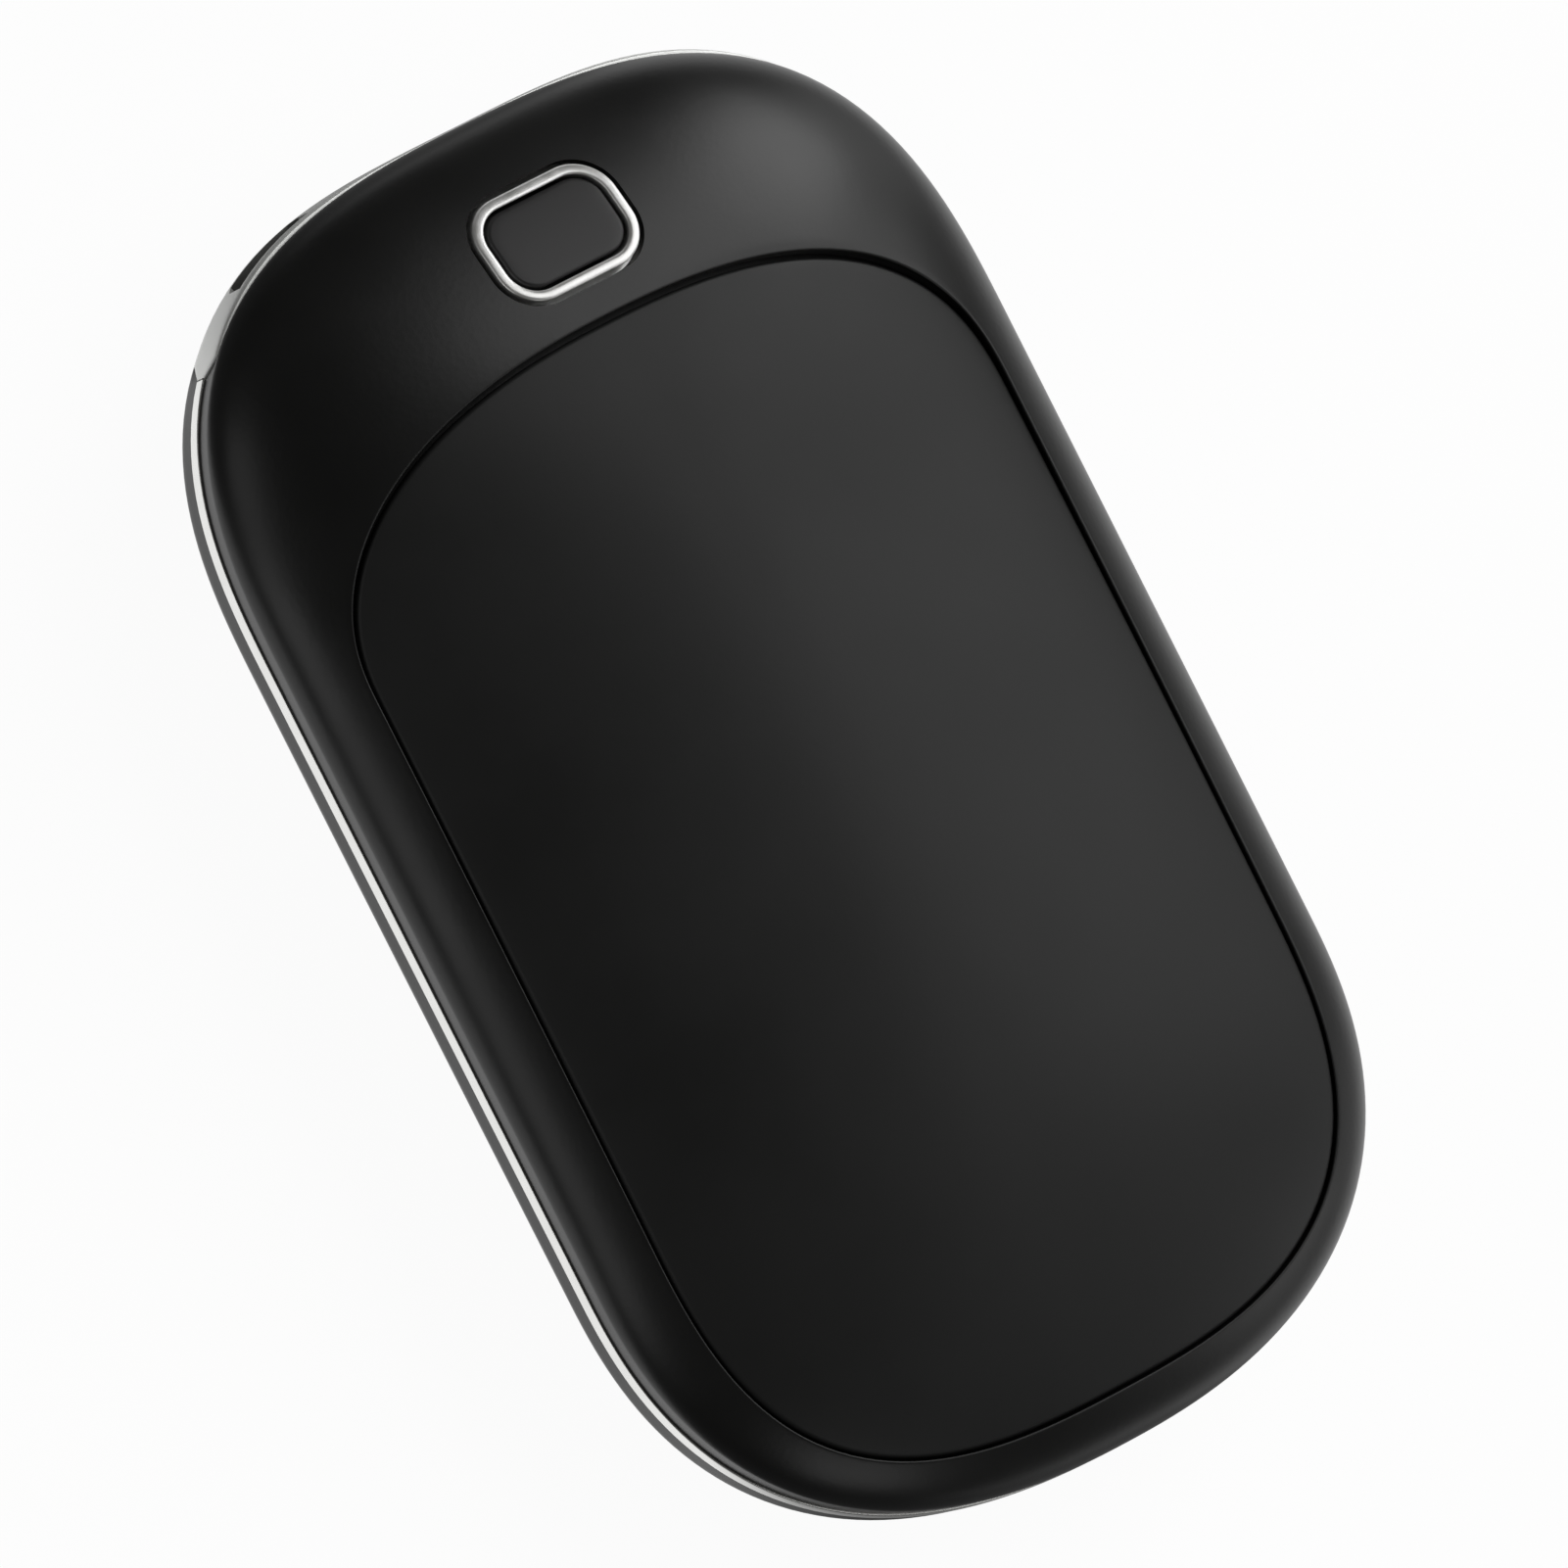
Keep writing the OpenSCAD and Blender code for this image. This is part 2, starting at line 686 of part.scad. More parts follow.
module button_prism(grow, h) {
    linear_extrude(h) polygon(ring_xy(grow));
}

// A profile of [growth, depth below the skin] carried round the ring
function ring_grid(profile) =
    let (loops = [for (s = profile) [for (p = ring_xy(s[0])) [p[0], p[1], skin_z(p[0], p[1]) - s[1]]]])
    [for (i = [0:ring_points - 1]) [for (loop = loops) loop[i]]];

// The rim is rounded; its neck passes through the shell and its flange is bonded behind it
rim_arc = [for (t = [0:30:180]) [rim_w / 2 * cos(t), -rim_proud * sin(t)]];
bezel_profile = concat(rim_arc,
    [[-rim_w / 2, bezel_low + bezel_flange_t],
        [rim_w / 2 + bezel_flange, bezel_low + bezel_flange_t],
        [rim_w / 2 + bezel_flange, bezel_low], [rim_w / 2, bezel_low]]);

module button_bezel() {
    color("#dcdcd9") lifted() loop_solid(ring_grid(bezel_profile));
}

// The cap is domed with the shell, and a flange behind the bezel keeps it in
cap_edge = -rim_w / 2 - cap_gap;
cap_profile = [[cap_edge, cap_depth], [cap_edge, cap_round - cap_proud],
    [cap_edge - cap_round, -cap_proud]];
cap_shares = [0.6, 0.25];

module button_cap() {
    color("#2e2f30") lifted() {
        cap_body();
        translate([0, button_y, plunger_z + stem_touch])
            cylinder(d = stem_d, h = skin_z(0, button_y) - cap_depth - plunger_z);
    }
}

// The cap's body: a flange, a neck through the bezel and a top that follows the shell
function cap_ring(grow, depth) =
    [for (p = ring_xy(grow)) [p[0], p[1], skin_z(p[0], p[1]) - depth]];
function cap_inner(share) =
    [for (p = ring_xy(cap_edge - cap_round))
        let (x = p[0] * share, y = mix(button_y, p[1], share)) [x, y, skin_z(x, y) + cap_proud]];
module cap_body() {
    low = cap_depth + cap_flange_t;
    rings = [cap_ring(cap_edge + cap_flange, low), cap_ring(cap_edge + cap_flange, cap_depth),
        cap_ring(cap_edge, cap_depth), cap_ring(cap_edge, cap_round - cap_proud),
        cap_ring(cap_edge - cap_round, -cap_proud), cap_inner(cap_shares[0]),
        cap_inner(cap_shares[1])];
    n = ring_points;
    m = len(rings);
    middle_low = [0, button_y, skin_z(0, button_y) - low];
    middle_top = [0, button_y, skin_z(0, button_y) + cap_proud];
    polyhedron(concat([for (r = rings) each r], [middle_low, middle_top]),
        concat([for (j = [0:m - 2], i = [0:n - 1])
            let (q = (i + 1) % n)
            each two_faces(j * n + i, (j + 1) * n + i, (j + 1) * n + q, j * n + q)],
            [for (i = [0:n - 1]) [m * n, i, (i + 1) % n]],
            [for (i = [0:n - 1]) [m * n + 1, (m - 1) * n + (i + 1) % n, (m - 1) * n + i]]));
}

// Tact switch under the button
switch_z = board_top + bond;
plunger_z = switch_z + switch_h + plunger_h;

module tact_switch() {
    color("#2b2b2b") lifted() translate([0, button_y, switch_z]) difference() {
        translate([-switch_w / 2, -switch_w / 2, 0]) cube([switch_w, switch_w, switch_h]);
        translate([0, 0, switch_h - plunger_h - press_travel])
            cylinder(d = plunger_d + 2 * bond, h = plunger_h + press_travel + cut);
    }
}

module switch_plunger() {
    color("#8a2b22") lifted() translate([0, button_y, plunger_z - 2 * plunger_h])
        cylinder(d = plunger_d, h = 2 * plunger_h);
}

// Cells, their tabs and the cradle

module cell(side) {
    shoulder = 0.6;
    translate([side * cell_x, -cell_back_y, 0]) rotate([-90, 0, 0]) {
        rotate_extrude() polygon([[0, 0], [cell_r - shoulder, 0], [cell_r, shoulder],
            [cell_r, cell_l - cap_pole_h - shoulder], [cell_r - shoulder, cell_l - cap_pole_h],
            [cap_pole_d / 2, cell_l - cap_pole_h], [cap_pole_d / 2, cell_l], [0, cell_l]]);
    }
}
module left_cell() {
    color("#3f6fae") lifted() cell(-1);
}
module right_cell() {
    color("#3f6fae") lifted() cell(1);
}

// Nickel strips: one joins the cells at the foot and one stands on each pole at the top
module cell_tabs() {
    color("#b9b4a6") lifted() {
        translate([-cell_x - tab_w / 2, -cell_back_y - bond - tab_t, -tab_w / 2])
            cube([2 * cell_x + tab_w, tab_t, tab_w]);
        for (side = [-1, 1])
            translate([side * cell_x - tab_w / 2, cell_front_y + bond, -tab_w / 2])
                cube([tab_w, tab_t, 1.5 * tab_w]);
    }
}

module cell_cradle() {
    pocket = cell_l + 2 * tab_room;
    color("#d8d6cf") lifted() difference() {
        union() {
            translate([-cradle_half_w, cradle_back, -cradle_low])
                cube([2 * cradle_half_w, cradle_front - cradle_back, cradle_low + cradle_high]);
            for (p = screw_places) ear(p);
            shelf();
        }
        for (side = [-1, 1])
            translate([side * cell_x, -cell_back_y - tab_room, 0]) rotate([-90, 0, 0])
                cylinder(r = cell_r + cradle_fit, h = pocket);
        translate([-web_w / 2, -cell_back_y - tab_room, web_top])
            cube([web_w, pocket, -web_top + cradle_high + cut]);
        for (p = screw_places)
            translate([p[0], p[1], 0]) {
                translate([0, 0, -ear_t]) cylinder(r = screw_d / 2 + screw_clear, h = 2 * ear_t);
                translate([0, 0, ear_t / 2]) cylinder(r = post_r + fit, h = cradle_high + cut);
                translate([0, 0, -cradle_low - cut])
                    cylinder(r = boss_r + fit, h = cradle_low + cut - ear_t / 2);
            }
    }
}

// An ear that the shells' bosses clamp, with an arm back to the cradle where it stands clear
module ear(p) {
    root = [sign(p[0]) * (cradle_half_w - ear_arm / 2), max(p[1], cradle_back + ear_arm / 2)];
    translate([0, 0, -ear_t / 2]) {
        translate(p) cylinder(r = ear_r, h = ear_t);
        hull() for (at = [p, root]) translate(at) cylinder(d = ear_arm, h = ear_t);
    }
}

// Shelf for the board, cut to the round end of the case, with two pegs
module shelf() {
    shelf_top = board_bottom - bond;
    translate([0, 0, shelf_top - shelf_t]) linear_extrude(shelf_t) intersection() {
        polygon([for (v = stations) oval_xy(inset(case_oval, board_inset + board_gap), v)]);
        translate([-shelf_half_w, cradle_front - cradle_end])
            square([2 * shelf_half_w, case_l / 2]);
    }
    for (side = [-1, 1])
        translate([side * peg_x, peg_y, shelf_top - shelf_t])
            cylinder(d = peg_d, h = shelf_t + board_t + peg_h);
}

// Circuit board and what it carries

module circuit_board() {
    color("#1f5a3a") lifted() difference() {
        translate([0, 0, board_bottom]) linear_extrude(board_t) intersection() {
            polygon([for (v = stations) oval_xy(inset(case_oval, board_inset), v)]);
            translate([-case_w / 2, board_back]) square([case_w, case_l / 2]);
        }
        for (side = [-1, 1])
            translate([side * peg_x, peg_y, board_bottom - cut])
                cylinder(d = peg_d + 2 * fit, h = board_t + 2 * cut);
    }
}

module charge_socket() {
    color("#bfc1c2") lifted() at_port() translate([0, 0, bond]) difference() {
        along_port(port_back, port_back + port_l) port_outline(-bond);
        along_port(port_back + socket_t, cut) port_outline(-bond - socket_t);
    }
}

module socket_tongue() {
    color("#2a2a2a") lifted() at_port()
        translate([-tongue_w / 2, port_back + socket_t + bond, bond])
            cube([tongue_w, tongue_l, tongue_t]);
}

module power_inductor() {
    color("#55565a") lifted() translate([coil_at[0], board_back + coil_at[1], board_top + bond]) {
        translate([-coil_base / 2, -coil_base / 2, 0]) cube([coil_base, coil_base, coil_base_h]);
        cylinder(d = coil_d, h = coil_h);
    }
}

module control_chips() {
    color("#202124") lifted() for (i = [0:len(chip_sizes) - 1])
        translate([chip_places[i][0] - chip_sizes[i][0] / 2,
            board_back + chip_places[i][1] - chip_sizes[i][1] / 2, board_top + bond])
            cube([chip_sizes[i][0], chip_sizes[i][1], chip_h]);
}

// Light guide: one rod a light, joined by a bar behind the shells' flanges
guide_back = -(wall + guide_room + guide_bar);
module light_guide() {
    bar_w = (light_count - 1) * light_pitch + guide_bar;
    color("#eef2f0") lifted() at_lights() {
        for (i = [0:light_count - 1])
            translate([light_x(i), 0, 0]) rotate([90, 0, 0])
                cylinder(d = light_d, h = wall + guide_room + guide_bar / 2);
        translate([-bar_w / 2, guide_back, board_top + bond])
            cube([bar_w, guide_bar, guide_bar_h]);
    }
}

module status_leds() {
    color("#f4f1d8") lifted() at_lights() for (i = [0:light_count - 1])
        translate([light_x(i) - led_w / 2, guide_back - fit - led_l, board_top + bond])
            cube([led_w, led_l, led_h]);
}

// Leads

function bezier(p, t) =
    pow(1 - t, 3) * p[0] + 3 * t * pow(1 - t, 2) * p[1] + 3 * t * t * (1 - t) * p[2] + pow(t, 3) * p[3];
function bezier_way(p, t) =
    3 * pow(1 - t, 2) * (p[1] - p[0]) + 6 * t * (1 - t) * (p[2] - p[1]) + 3 * t * t * (p[3] - p[2]);

// A round lead along a curve that lies in a plane through X and the curve
module lead(p, d) {
    run_solid([for (i = [0:LEAD_RINGS])
        let (t = i / LEAD_RINGS, at = bezier(p, t), way = bezier_way(p, t) / norm(bezier_way(p, t)),
            side = cross([1, 0, 0], way) / norm(cross([1, 0, 0], way)), up = cross(way, side))
        [for (k = [0:LEAD_SIDES - 1])
            let (a = 360 * k / LEAD_SIDES) at - d / 2 * (cos(a) * side - sin(a) * up)]]);
}

pad_in = 2;
pad_y = board_back + pad_in;
pad_z = board_top + bond;
lead_lift = 4;
battery_pad_x = 6;
battery_from = [cell_x, cell_front_y + bond + tab_t + bond, tab_w / 2 + lead_d];

module battery_leads() {
    color("#a3231d") lifted() for (side = [-1, 1])
        lead([[side * battery_from[0], battery_from[1], battery_from[2]],
            [side * battery_from[0], battery_from[1] + lead_lift, battery_from[2]],
            [side * battery_pad_x, pad_y, pad_z + lead_lift],
            [side * battery_pad_x, pad_y, pad_z]], lead_d);
}

// Heater leads: from each film, over the valley between the cells, to the board
film_lead_in = 4;
film_lead_y = cell_front_y - film_lead_in;
film_lead_x = 1.5;
film_pad_x = 2.4;
rear_pad_x = 13.5;
rear_reach = 4.5;
function film_low(x, y, flat) = plate_z(x, y, flat) - film_depth - film_t;

module heater_leads() {
    high = film_low(film_lead_x, film_lead_y, no_flat) - thin_lead_d / 2 - fit;
    low = film_low(film_lead_x, film_lead_y, rest_z) - thin_lead_d / 2 - fit;
    color("#e9e6dc") lifted() for (side = [-1, 1]) {
        lead([[side * film_lead_x, film_lead_y, high],
            [side * film_lead_x, film_lead_y + lead_lift, high - lead_lift / 4],
            [side * film_pad_x, pad_y, high - lead_lift],
            [side * film_pad_x, pad_y, pad_z]], thin_lead_d);
        lead([[side * film_lead_x, film_lead_y, -low],
            [side * film_lead_x, film_lead_y + rear_reach, rear_reach / 2 - low],
            [side * rear_pad_x, pad_y + rear_reach / 2, rear_reach / 2 - low],
            [side * rear_pad_x, pad_y + rear_reach / 2, board_bottom - bond]], thin_lead_d);
    }
}

module thermistor() {
    z = film_low(0, bead_y, no_flat) - bead_d / 2 - fit;
    color("#2f2f2f") lifted() translate([0, bead_y - bead_l / 2, z]) rotate([-90, 0, 0])
        cylinder(d = bead_d, h = bead_l);
}

module case_screws() {
    color("#8d8f92") lifted() on_back() for (p = screw_places) translate([p[0], p[1], 0]) {
        translate([0, 0, seat_z + bond - screw_l]) cylinder(d = screw_d, h = screw_l);
        translate([0, 0, seat_z + bond]) difference() {
            cylinder(d = screw_head_d, h = screw_head_h);
            translate([0, 0, screw_head_h - recess_depth])
                cylinder(d = recess_d, h = recess_depth + cut, $fn = 6);
        }
    }
}

front_shell();
rear_shell();
trim_band();
port_cap();
front_heat_plate();
rear_heat_plate();
front_heater_film();
rear_heater_film();
front_foam_pad();
rear_foam_pad();
button_bezel();
button_cap();
tact_switch();
switch_plunger();
cell_cradle();
left_cell();
right_cell();
cell_tabs();
circuit_board();
charge_socket();
socket_tongue();
power_inductor();
control_chips();
status_leds();
light_guide();
thermistor();
battery_leads();
heater_leads();
case_screws();
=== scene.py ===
"""Looks of the rechargeable hand warmer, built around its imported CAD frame."""
import json
import math

import bpy
import numpy as np
from mathutils import Matrix, Vector


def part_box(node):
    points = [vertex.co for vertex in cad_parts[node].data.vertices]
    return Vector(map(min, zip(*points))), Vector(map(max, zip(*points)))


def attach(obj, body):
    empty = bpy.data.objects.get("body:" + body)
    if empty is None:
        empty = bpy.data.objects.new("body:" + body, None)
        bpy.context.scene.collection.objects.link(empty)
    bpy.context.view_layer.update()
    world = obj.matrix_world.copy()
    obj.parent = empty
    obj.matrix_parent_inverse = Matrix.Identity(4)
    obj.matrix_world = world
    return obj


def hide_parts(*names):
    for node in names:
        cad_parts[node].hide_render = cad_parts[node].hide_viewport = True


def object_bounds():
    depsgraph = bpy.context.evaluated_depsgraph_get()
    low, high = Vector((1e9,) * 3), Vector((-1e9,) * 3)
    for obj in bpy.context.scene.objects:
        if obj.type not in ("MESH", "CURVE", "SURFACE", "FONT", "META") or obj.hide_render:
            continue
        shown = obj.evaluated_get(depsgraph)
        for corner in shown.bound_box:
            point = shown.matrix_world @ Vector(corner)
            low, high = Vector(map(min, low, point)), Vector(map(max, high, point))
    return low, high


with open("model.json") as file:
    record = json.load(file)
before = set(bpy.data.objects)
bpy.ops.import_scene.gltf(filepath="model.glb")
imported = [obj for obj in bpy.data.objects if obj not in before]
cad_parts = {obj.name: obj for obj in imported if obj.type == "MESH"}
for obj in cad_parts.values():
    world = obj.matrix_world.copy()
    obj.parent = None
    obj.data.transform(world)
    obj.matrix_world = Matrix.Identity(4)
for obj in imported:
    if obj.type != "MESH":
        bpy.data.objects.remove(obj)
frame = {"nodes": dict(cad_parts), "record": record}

CAD_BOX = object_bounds()
MM = 0.001

# Sizes that the frame gives

SHELL_LOW, SHELL_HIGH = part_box("front_shell")
BAND_LOW, BAND_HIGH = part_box("trim_band")
PLATE_LOW, PLATE_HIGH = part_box("front_heat_plate")
RING_LOW, RING_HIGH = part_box("button_bezel")

BAND_SEAM = 0.08 * MM
MID_Z = (BAND_LOW.z + BAND_HIGH.z) / 2
HALF_BAND = (BAND_HIGH.z - BAND_LOW.z) / 2 + BAND_SEAM
BAND_BULGE = BAND_HIGH.x - SHELL_HIGH.x

# Sizes of the case that the frame's boxes don't give

CROWN = 10.5 * MM
TOP_END = 28.3 * MM
FOOT_END = 26.6 * MM
ARCH_END = 16.7 * MM
PLATE_FOOT_END = 24.7 * MM
RIDGE_FALL = 1.4 * MM
SKIRT_H = 1.7 * MM
SKIRT_IN = 0.08 * MM
EDGE_Z = HALF_BAND + SKIRT_H
WALL = 1.8 * MM
BAND_T = 0.9 * MM
PLATE_T = 0.8 * MM
GROOVE_W = 0.3 * MM
SIDE_RECESS = 0.2 * MM
ARCH_RECESS = 0.55 * MM
LEDGE_T = 1.2 * MM
SMALL_FIT = 0.1 * MM
# The finer crown of the plates would stand this much proud of the frame's
HAIR = 0.012 * MM

# Exponents and shares of the form, with a pair of powers for an oval's button end and foot end
CASE_POWERS = (2.73, 2.38)
PLATE_POWERS = (2.36, 2.78)
CROWN_POWER = 1.72
RIDGE_SOFT = 0.15
END_SOFT = 0.3
END_BLEND = 6
RIDGE_SHARE = 0.17
SINK_SHARES = (-0.28, 0.85)
WINDOW_SHARE = 0.87

CASE_L = SHELL_HIGH.y - SHELL_LOW.y


class Oval:
    """A closed outline: straight sides between a round button end and a round foot end."""

    def __init__(self, half_w, top, foot, top_end, foot_end, top_power, foot_power):
        self.half_w, self.top, self.foot = half_w, top, foot
        self.top_end, self.foot_end = top_end, foot_end
        self.top_power, self.foot_power = top_power, foot_power

    def inset(self, depth):
        return Oval(self.half_w - depth, self.top - depth, self.foot - depth, self.top_end - depth,
                    self.foot_end - depth, self.top_power, self.foot_power)

    def shrink(self, share):
        return Oval(self.half_w * share, self.top - self.top_end * (1 - share),
                    self.foot - self.foot_end * (1 - share), self.top_end * share,
                    self.foot_end * share, self.top_power, self.foot_power)

    def points(self, stations):
        """Points at stations: 0 to 1 over the button end, 2 down the left, 3 over the foot."""
        stations = np.asarray(stations, float) % 4
        part = np.floor(stations)
        along = stations - part
        turn = math.pi * along

        def round_end(length, power):
            """Steps sideways and outwards from the middle of a round end."""
            side, out = np.cos(turn), np.sin(turn)
            reach = (np.abs(side) ** power + np.abs(out) ** power) ** (-1 / power)
            return self.half_w * reach * side, length * reach * out

        top_y, foot_y = self.top - self.top_end, self.foot_end - self.foot
        top_x, top_rise = round_end(self.top_end, self.top_power)
        foot_x, foot_fall = round_end(self.foot_end, self.foot_power)
        parts = [part == 0, part == 1, part == 2]
        x = np.select(parts, [top_x, -self.half_w, -foot_x], self.half_w)
        y = np.select(parts, [top_y + top_rise, top_y + (foot_y - top_y) * along, foot_y - foot_fall],
                      foot_y + (top_y - foot_y) * along)
        return np.stack([x, y], -1)

    def gauge(self, x, y, soft=0.0):
        """0 on the middle line and 1 on the outline. With soft, the round ends start gently."""
        end = np.where(y > 0, self.top_end, self.foot_end)
        tip = np.where(y > 0, self.top, self.foot)
        power = np.where(y > 0, self.top_power, self.foot_power)
        beyond = np.abs(y) - tip + end
        sideways = np.abs(x / self.half_w) ** power
        hard = (sideways + (np.maximum(beyond, 0) / end) ** power) ** (1 / power)
        if not soft:
            return hard
        ease = end * soft
        eased = (beyond + np.hypot(beyond, ease)) / (end + np.hypot(end, ease))
        gentle = (sideways + eased ** power) ** (1 / power)
        hard = np.minimum(hard, 1)
        return gentle + (hard - gentle) * hard ** END_BLEND


CASE = Oval(SHELL_HIGH.x, SHELL_HIGH.y, -SHELL_LOW.y, TOP_END, FOOT_END, *CASE_POWERS)
PLATE = Oval(PLATE_HIGH.x + GROOVE_W, PLATE_HIGH.y + GROOVE_W, GROOVE_W - PLATE_LOW.y,
             ARCH_END, PLATE_FOOT_END, *PLATE_POWERS)


def crown_height(oval, high, x, y):
    """Height over an oval's edge of a crown whose ridge falls away to both ends."""
    gauge = np.minimum(oval.gauge(x, y, END_SOFT), 1)
    fall = RIDGE_FALL * (2 * y / CASE_L - RIDGE_SHARE) ** 2
    soft = RIDGE_SOFT ** 2
    side = ((gauge * gauge + soft) / (1 + soft)) ** (CROWN_POWER / 2)
    return (high - fall) * (1 - side) ** (1 / CROWN_POWER)


def skin_z(x, y):
    """Height of the shell's outer face over the parting plane."""
    return EDGE_Z + crown_height(CASE, CROWN, x, y)


def inner_z(x, y):
    return EDGE_Z + crown_height(CASE.inset(WALL), CROWN - WALL, x, y)


def sink(y):
    """Depth of a plate below the skin, which grows towards the arch."""
    start, end = SINK_SHARES
    along = np.clip((y / PLATE.top - start) / (end - start), 0, 1)
    return SIDE_RECESS + (ARCH_RECESS - SIDE_RECESS) * along * along * (3 - 2 * along)


def plate_z(x, y):
    return skin_z(x, y) - sink(y) - HAIR


def ledge_z(x, y):
    return plate_z(x, y) - PLATE_T - SMALL_FIT


# Meshes

SMOOTH_ANGLE = math.radians(35)


def add_mesh(name, points, faces):
    mesh = bpy.data.meshes.new(name)
    mesh.from_pydata([tuple(point) for point in points], [], faces)
    mesh.validate()
    piece = bpy.data.objects.new(name, mesh)
    bpy.context.scene.collection.objects.link(piece)
    mesh.shade_smooth()
    mesh.set_sharp_from_angle(angle=SMOOTH_ANGLE)
    return piece


def grid_faces(sections, points, close_sections, close_points):
    """Faces between the neighbouring points of neighbouring sections."""
    faces = []
    for here in range(sections if close_sections else sections - 1):
        there = (here + 1) % sections
        for point in range(points if close_points else points - 1):
            after = (point + 1) % points
            faces.append((here * points + point, here * points + after,
                          there * points + after, there * points + point))
    return faces


def turned_over(rings):
    """Rings for the rear half, with their points in reverse so that faces still look outwards."""
    flipped = np.array(rings, float)
    flipped[..., 2] *= -1
    return flipped[:, ::-1]


def add_rings(name, rings, faces):
    """A mesh of rings whose heights are over the parting plane."""
    lifted = np.array(rings, float)
    lifted[..., 2] += MID_Z
    return add_mesh(name, lifted.reshape(-1, 3), faces)


def loop_piece(name, rings):
    """A closed loop of closed sections."""
    sections, points = rings.shape[:2]
    return add_rings(name, rings, grid_faces(sections, points, True, True))


def run_piece(name, rings):
    """A run of closed sections with flat ends."""
    sections, points = rings.shape[:2]
    faces = grid_faces(sections, points, False, True)
    faces.append(tuple(reversed(range(points))))
    faces.append(tuple((sections - 1) * points + point for point in range(points)))
    return add_rings(name, rings, faces)


def lens_piece(name, rings, tip):
    """Open sections over a lens, closed in both middles by strips from left to right."""
    sections, points = rings.shape[:2]
    faces = grid_faces(sections, points, True, False)
    half = sections // 2
    left = [(tip + k) % sections for k in range(half + 1)]
    right = [(tip - k) % sections for k in range(half + 1)]
    for ring, order in ((points - 1, 1), (0, -1)):
        for k in range(half):
            corners = dict.fromkeys([left[k], right[k], right[k + 1], left[k + 1]])
            faces.append(tuple(section * points + ring for section in corners)[::order])
    return add_rings(name, rings, faces)


def ring_of(xy, z):
    return np.concatenate([xy, z[..., None]], -1)


# Stations round the outline

# The port cap fills the band between two stations, and takes most of the skirts inside them.
# The stations are those of its solid, which has fewer steps over the button end.
SOLID_STEPS = 26
CAP_FROM = 6 / SOLID_STEPS
CAP_TO = 1 - CAP_FROM
CAP_RISE = 0.35 / SOLID_STEPS
CAP_JOINT = 0.03 / SOLID_STEPS
SKIRT_TAKEN = 0.95
CAP_ENDS = np.array([CAP_FROM, CAP_FROM + CAP_RISE, CAP_TO - CAP_RISE, CAP_TO])

END_STEPS = 96
SIDE_STEPS = 28
ROUND_END = np.arange(END_STEPS) / END_STEPS
SIDE = np.arange(SIDE_STEPS) / SIDE_STEPS
BUTTON_END = np.sort(np.concatenate([ROUND_END, CAP_ENDS]))
STATIONS = np.concatenate([BUTTON_END, 1 + SIDE, 2 + ROUND_END, 3 + SIDE])
TIP = len(BUTTON_END) // 2


def skirt_z(stations):
    """Height of the lower edge of a shell's upright skirt, most of which gives way to the port cap."""
    stations = np.asarray(stations, float)
    risen = np.clip((np.minimum(stations, 1 - stations) - CAP_FROM) / CAP_RISE, 0, 1)
    return EDGE_Z - SKIRT_H * (1 - SKIRT_TAKEN * risen)


def fillet(radius, steps):
    """Distances from an edge and drops below the face, over a quarter round."""
    turns = [math.pi / 2 * i / steps for i in range(steps + 1)]
    return [(radius * (1 - math.sin(turn)), radius * (1 - math.cos(turn))) for turn in turns]


def on_face(xy, face, depth=0):
    """A ring of points at a depth below a face, which is a function of x and y."""
    return ring_of(xy, face(xy[:, 0], xy[:, 1]) - depth)


# Shells: the skin, the lip of the plate's groove, the ledge, the inside and the flange

EDGE_ROUND = 0.04 * MM
EDGE_STEPS = 4
LIP_ROUND = 0.22 * MM
LIP_STEPS = 6
FLANGE_FIT = 0.05 * MM
PARTING_FIT = 0.05 * MM
INNER_REACH = 0.85
SKIRT_RINGS = 6
SKIN_RINGS = 34
INNER_RINGS = 10


def shell_rings():
    """A shell's section at each station, from its flange over the skin and back along the inside."""
    lip = PLATE.inset(-LIP_ROUND).points(STATIONS)
    low = skirt_z(STATIONS)
    radius = np.minimum(EDGE_ROUND, (EDGE_Z - low) / 2)
    flange = CASE.inset(BAND_T + FLANGE_FIT).points(STATIONS)
    rings = [ring_of(flange, low)]
    for up, drop in reversed(fillet(1, EDGE_STEPS)):
        depths = SKIRT_IN + radius * drop
        xy = np.array([CASE.inset(depth).points([station])[0] for depth, station in zip(depths, STATIONS)])
        rings.append(ring_of(xy, low + radius * up))
    for k in range(1, SKIRT_RINGS + 1):
        share = k / SKIRT_RINGS
        xy = CASE.inset(SKIRT_IN * (1 - share)).points(STATIONS)
        rings.append(ring_of(xy, low + radius + (EDGE_Z - low - radius) * share))
    start = CASE.points(STATIONS)
    for k in range(1, SKIN_RINGS + 1):
        share = (k / SKIN_RINGS) ** 2
        rings.append(on_face(start * (1 - share) + lip * share, skin_z))
    for away, drop in fillet(LIP_ROUND, LIP_STEPS)[1:]:
        rings.append(on_face(PLATE.inset(-away).points(STATIONS), skin_z, drop))
    mouth = PLATE.points(STATIONS)
    window = PLATE.shrink(WINDOW_SHARE).points(STATIONS)
    rings += [on_face(mouth, ledge_z), on_face(window, ledge_z), on_face(window, ledge_z, LEDGE_T)]
    root = CASE.inset(WALL).points(STATIONS)
    for k in range(INNER_RINGS + 1):
        share = INNER_REACH * (1 - k / INNER_RINGS) ** 2
        rings.append(on_face(root * (1 - share) + mouth * share, inner_z))
    parting = np.full(len(STATIONS), PARTING_FIT)
    rings += [ring_of(root, parting), ring_of(flange, parting)]
    return np.stack(rings, 1)


# Heat plates: a rounded rim and a crown that follows the shell

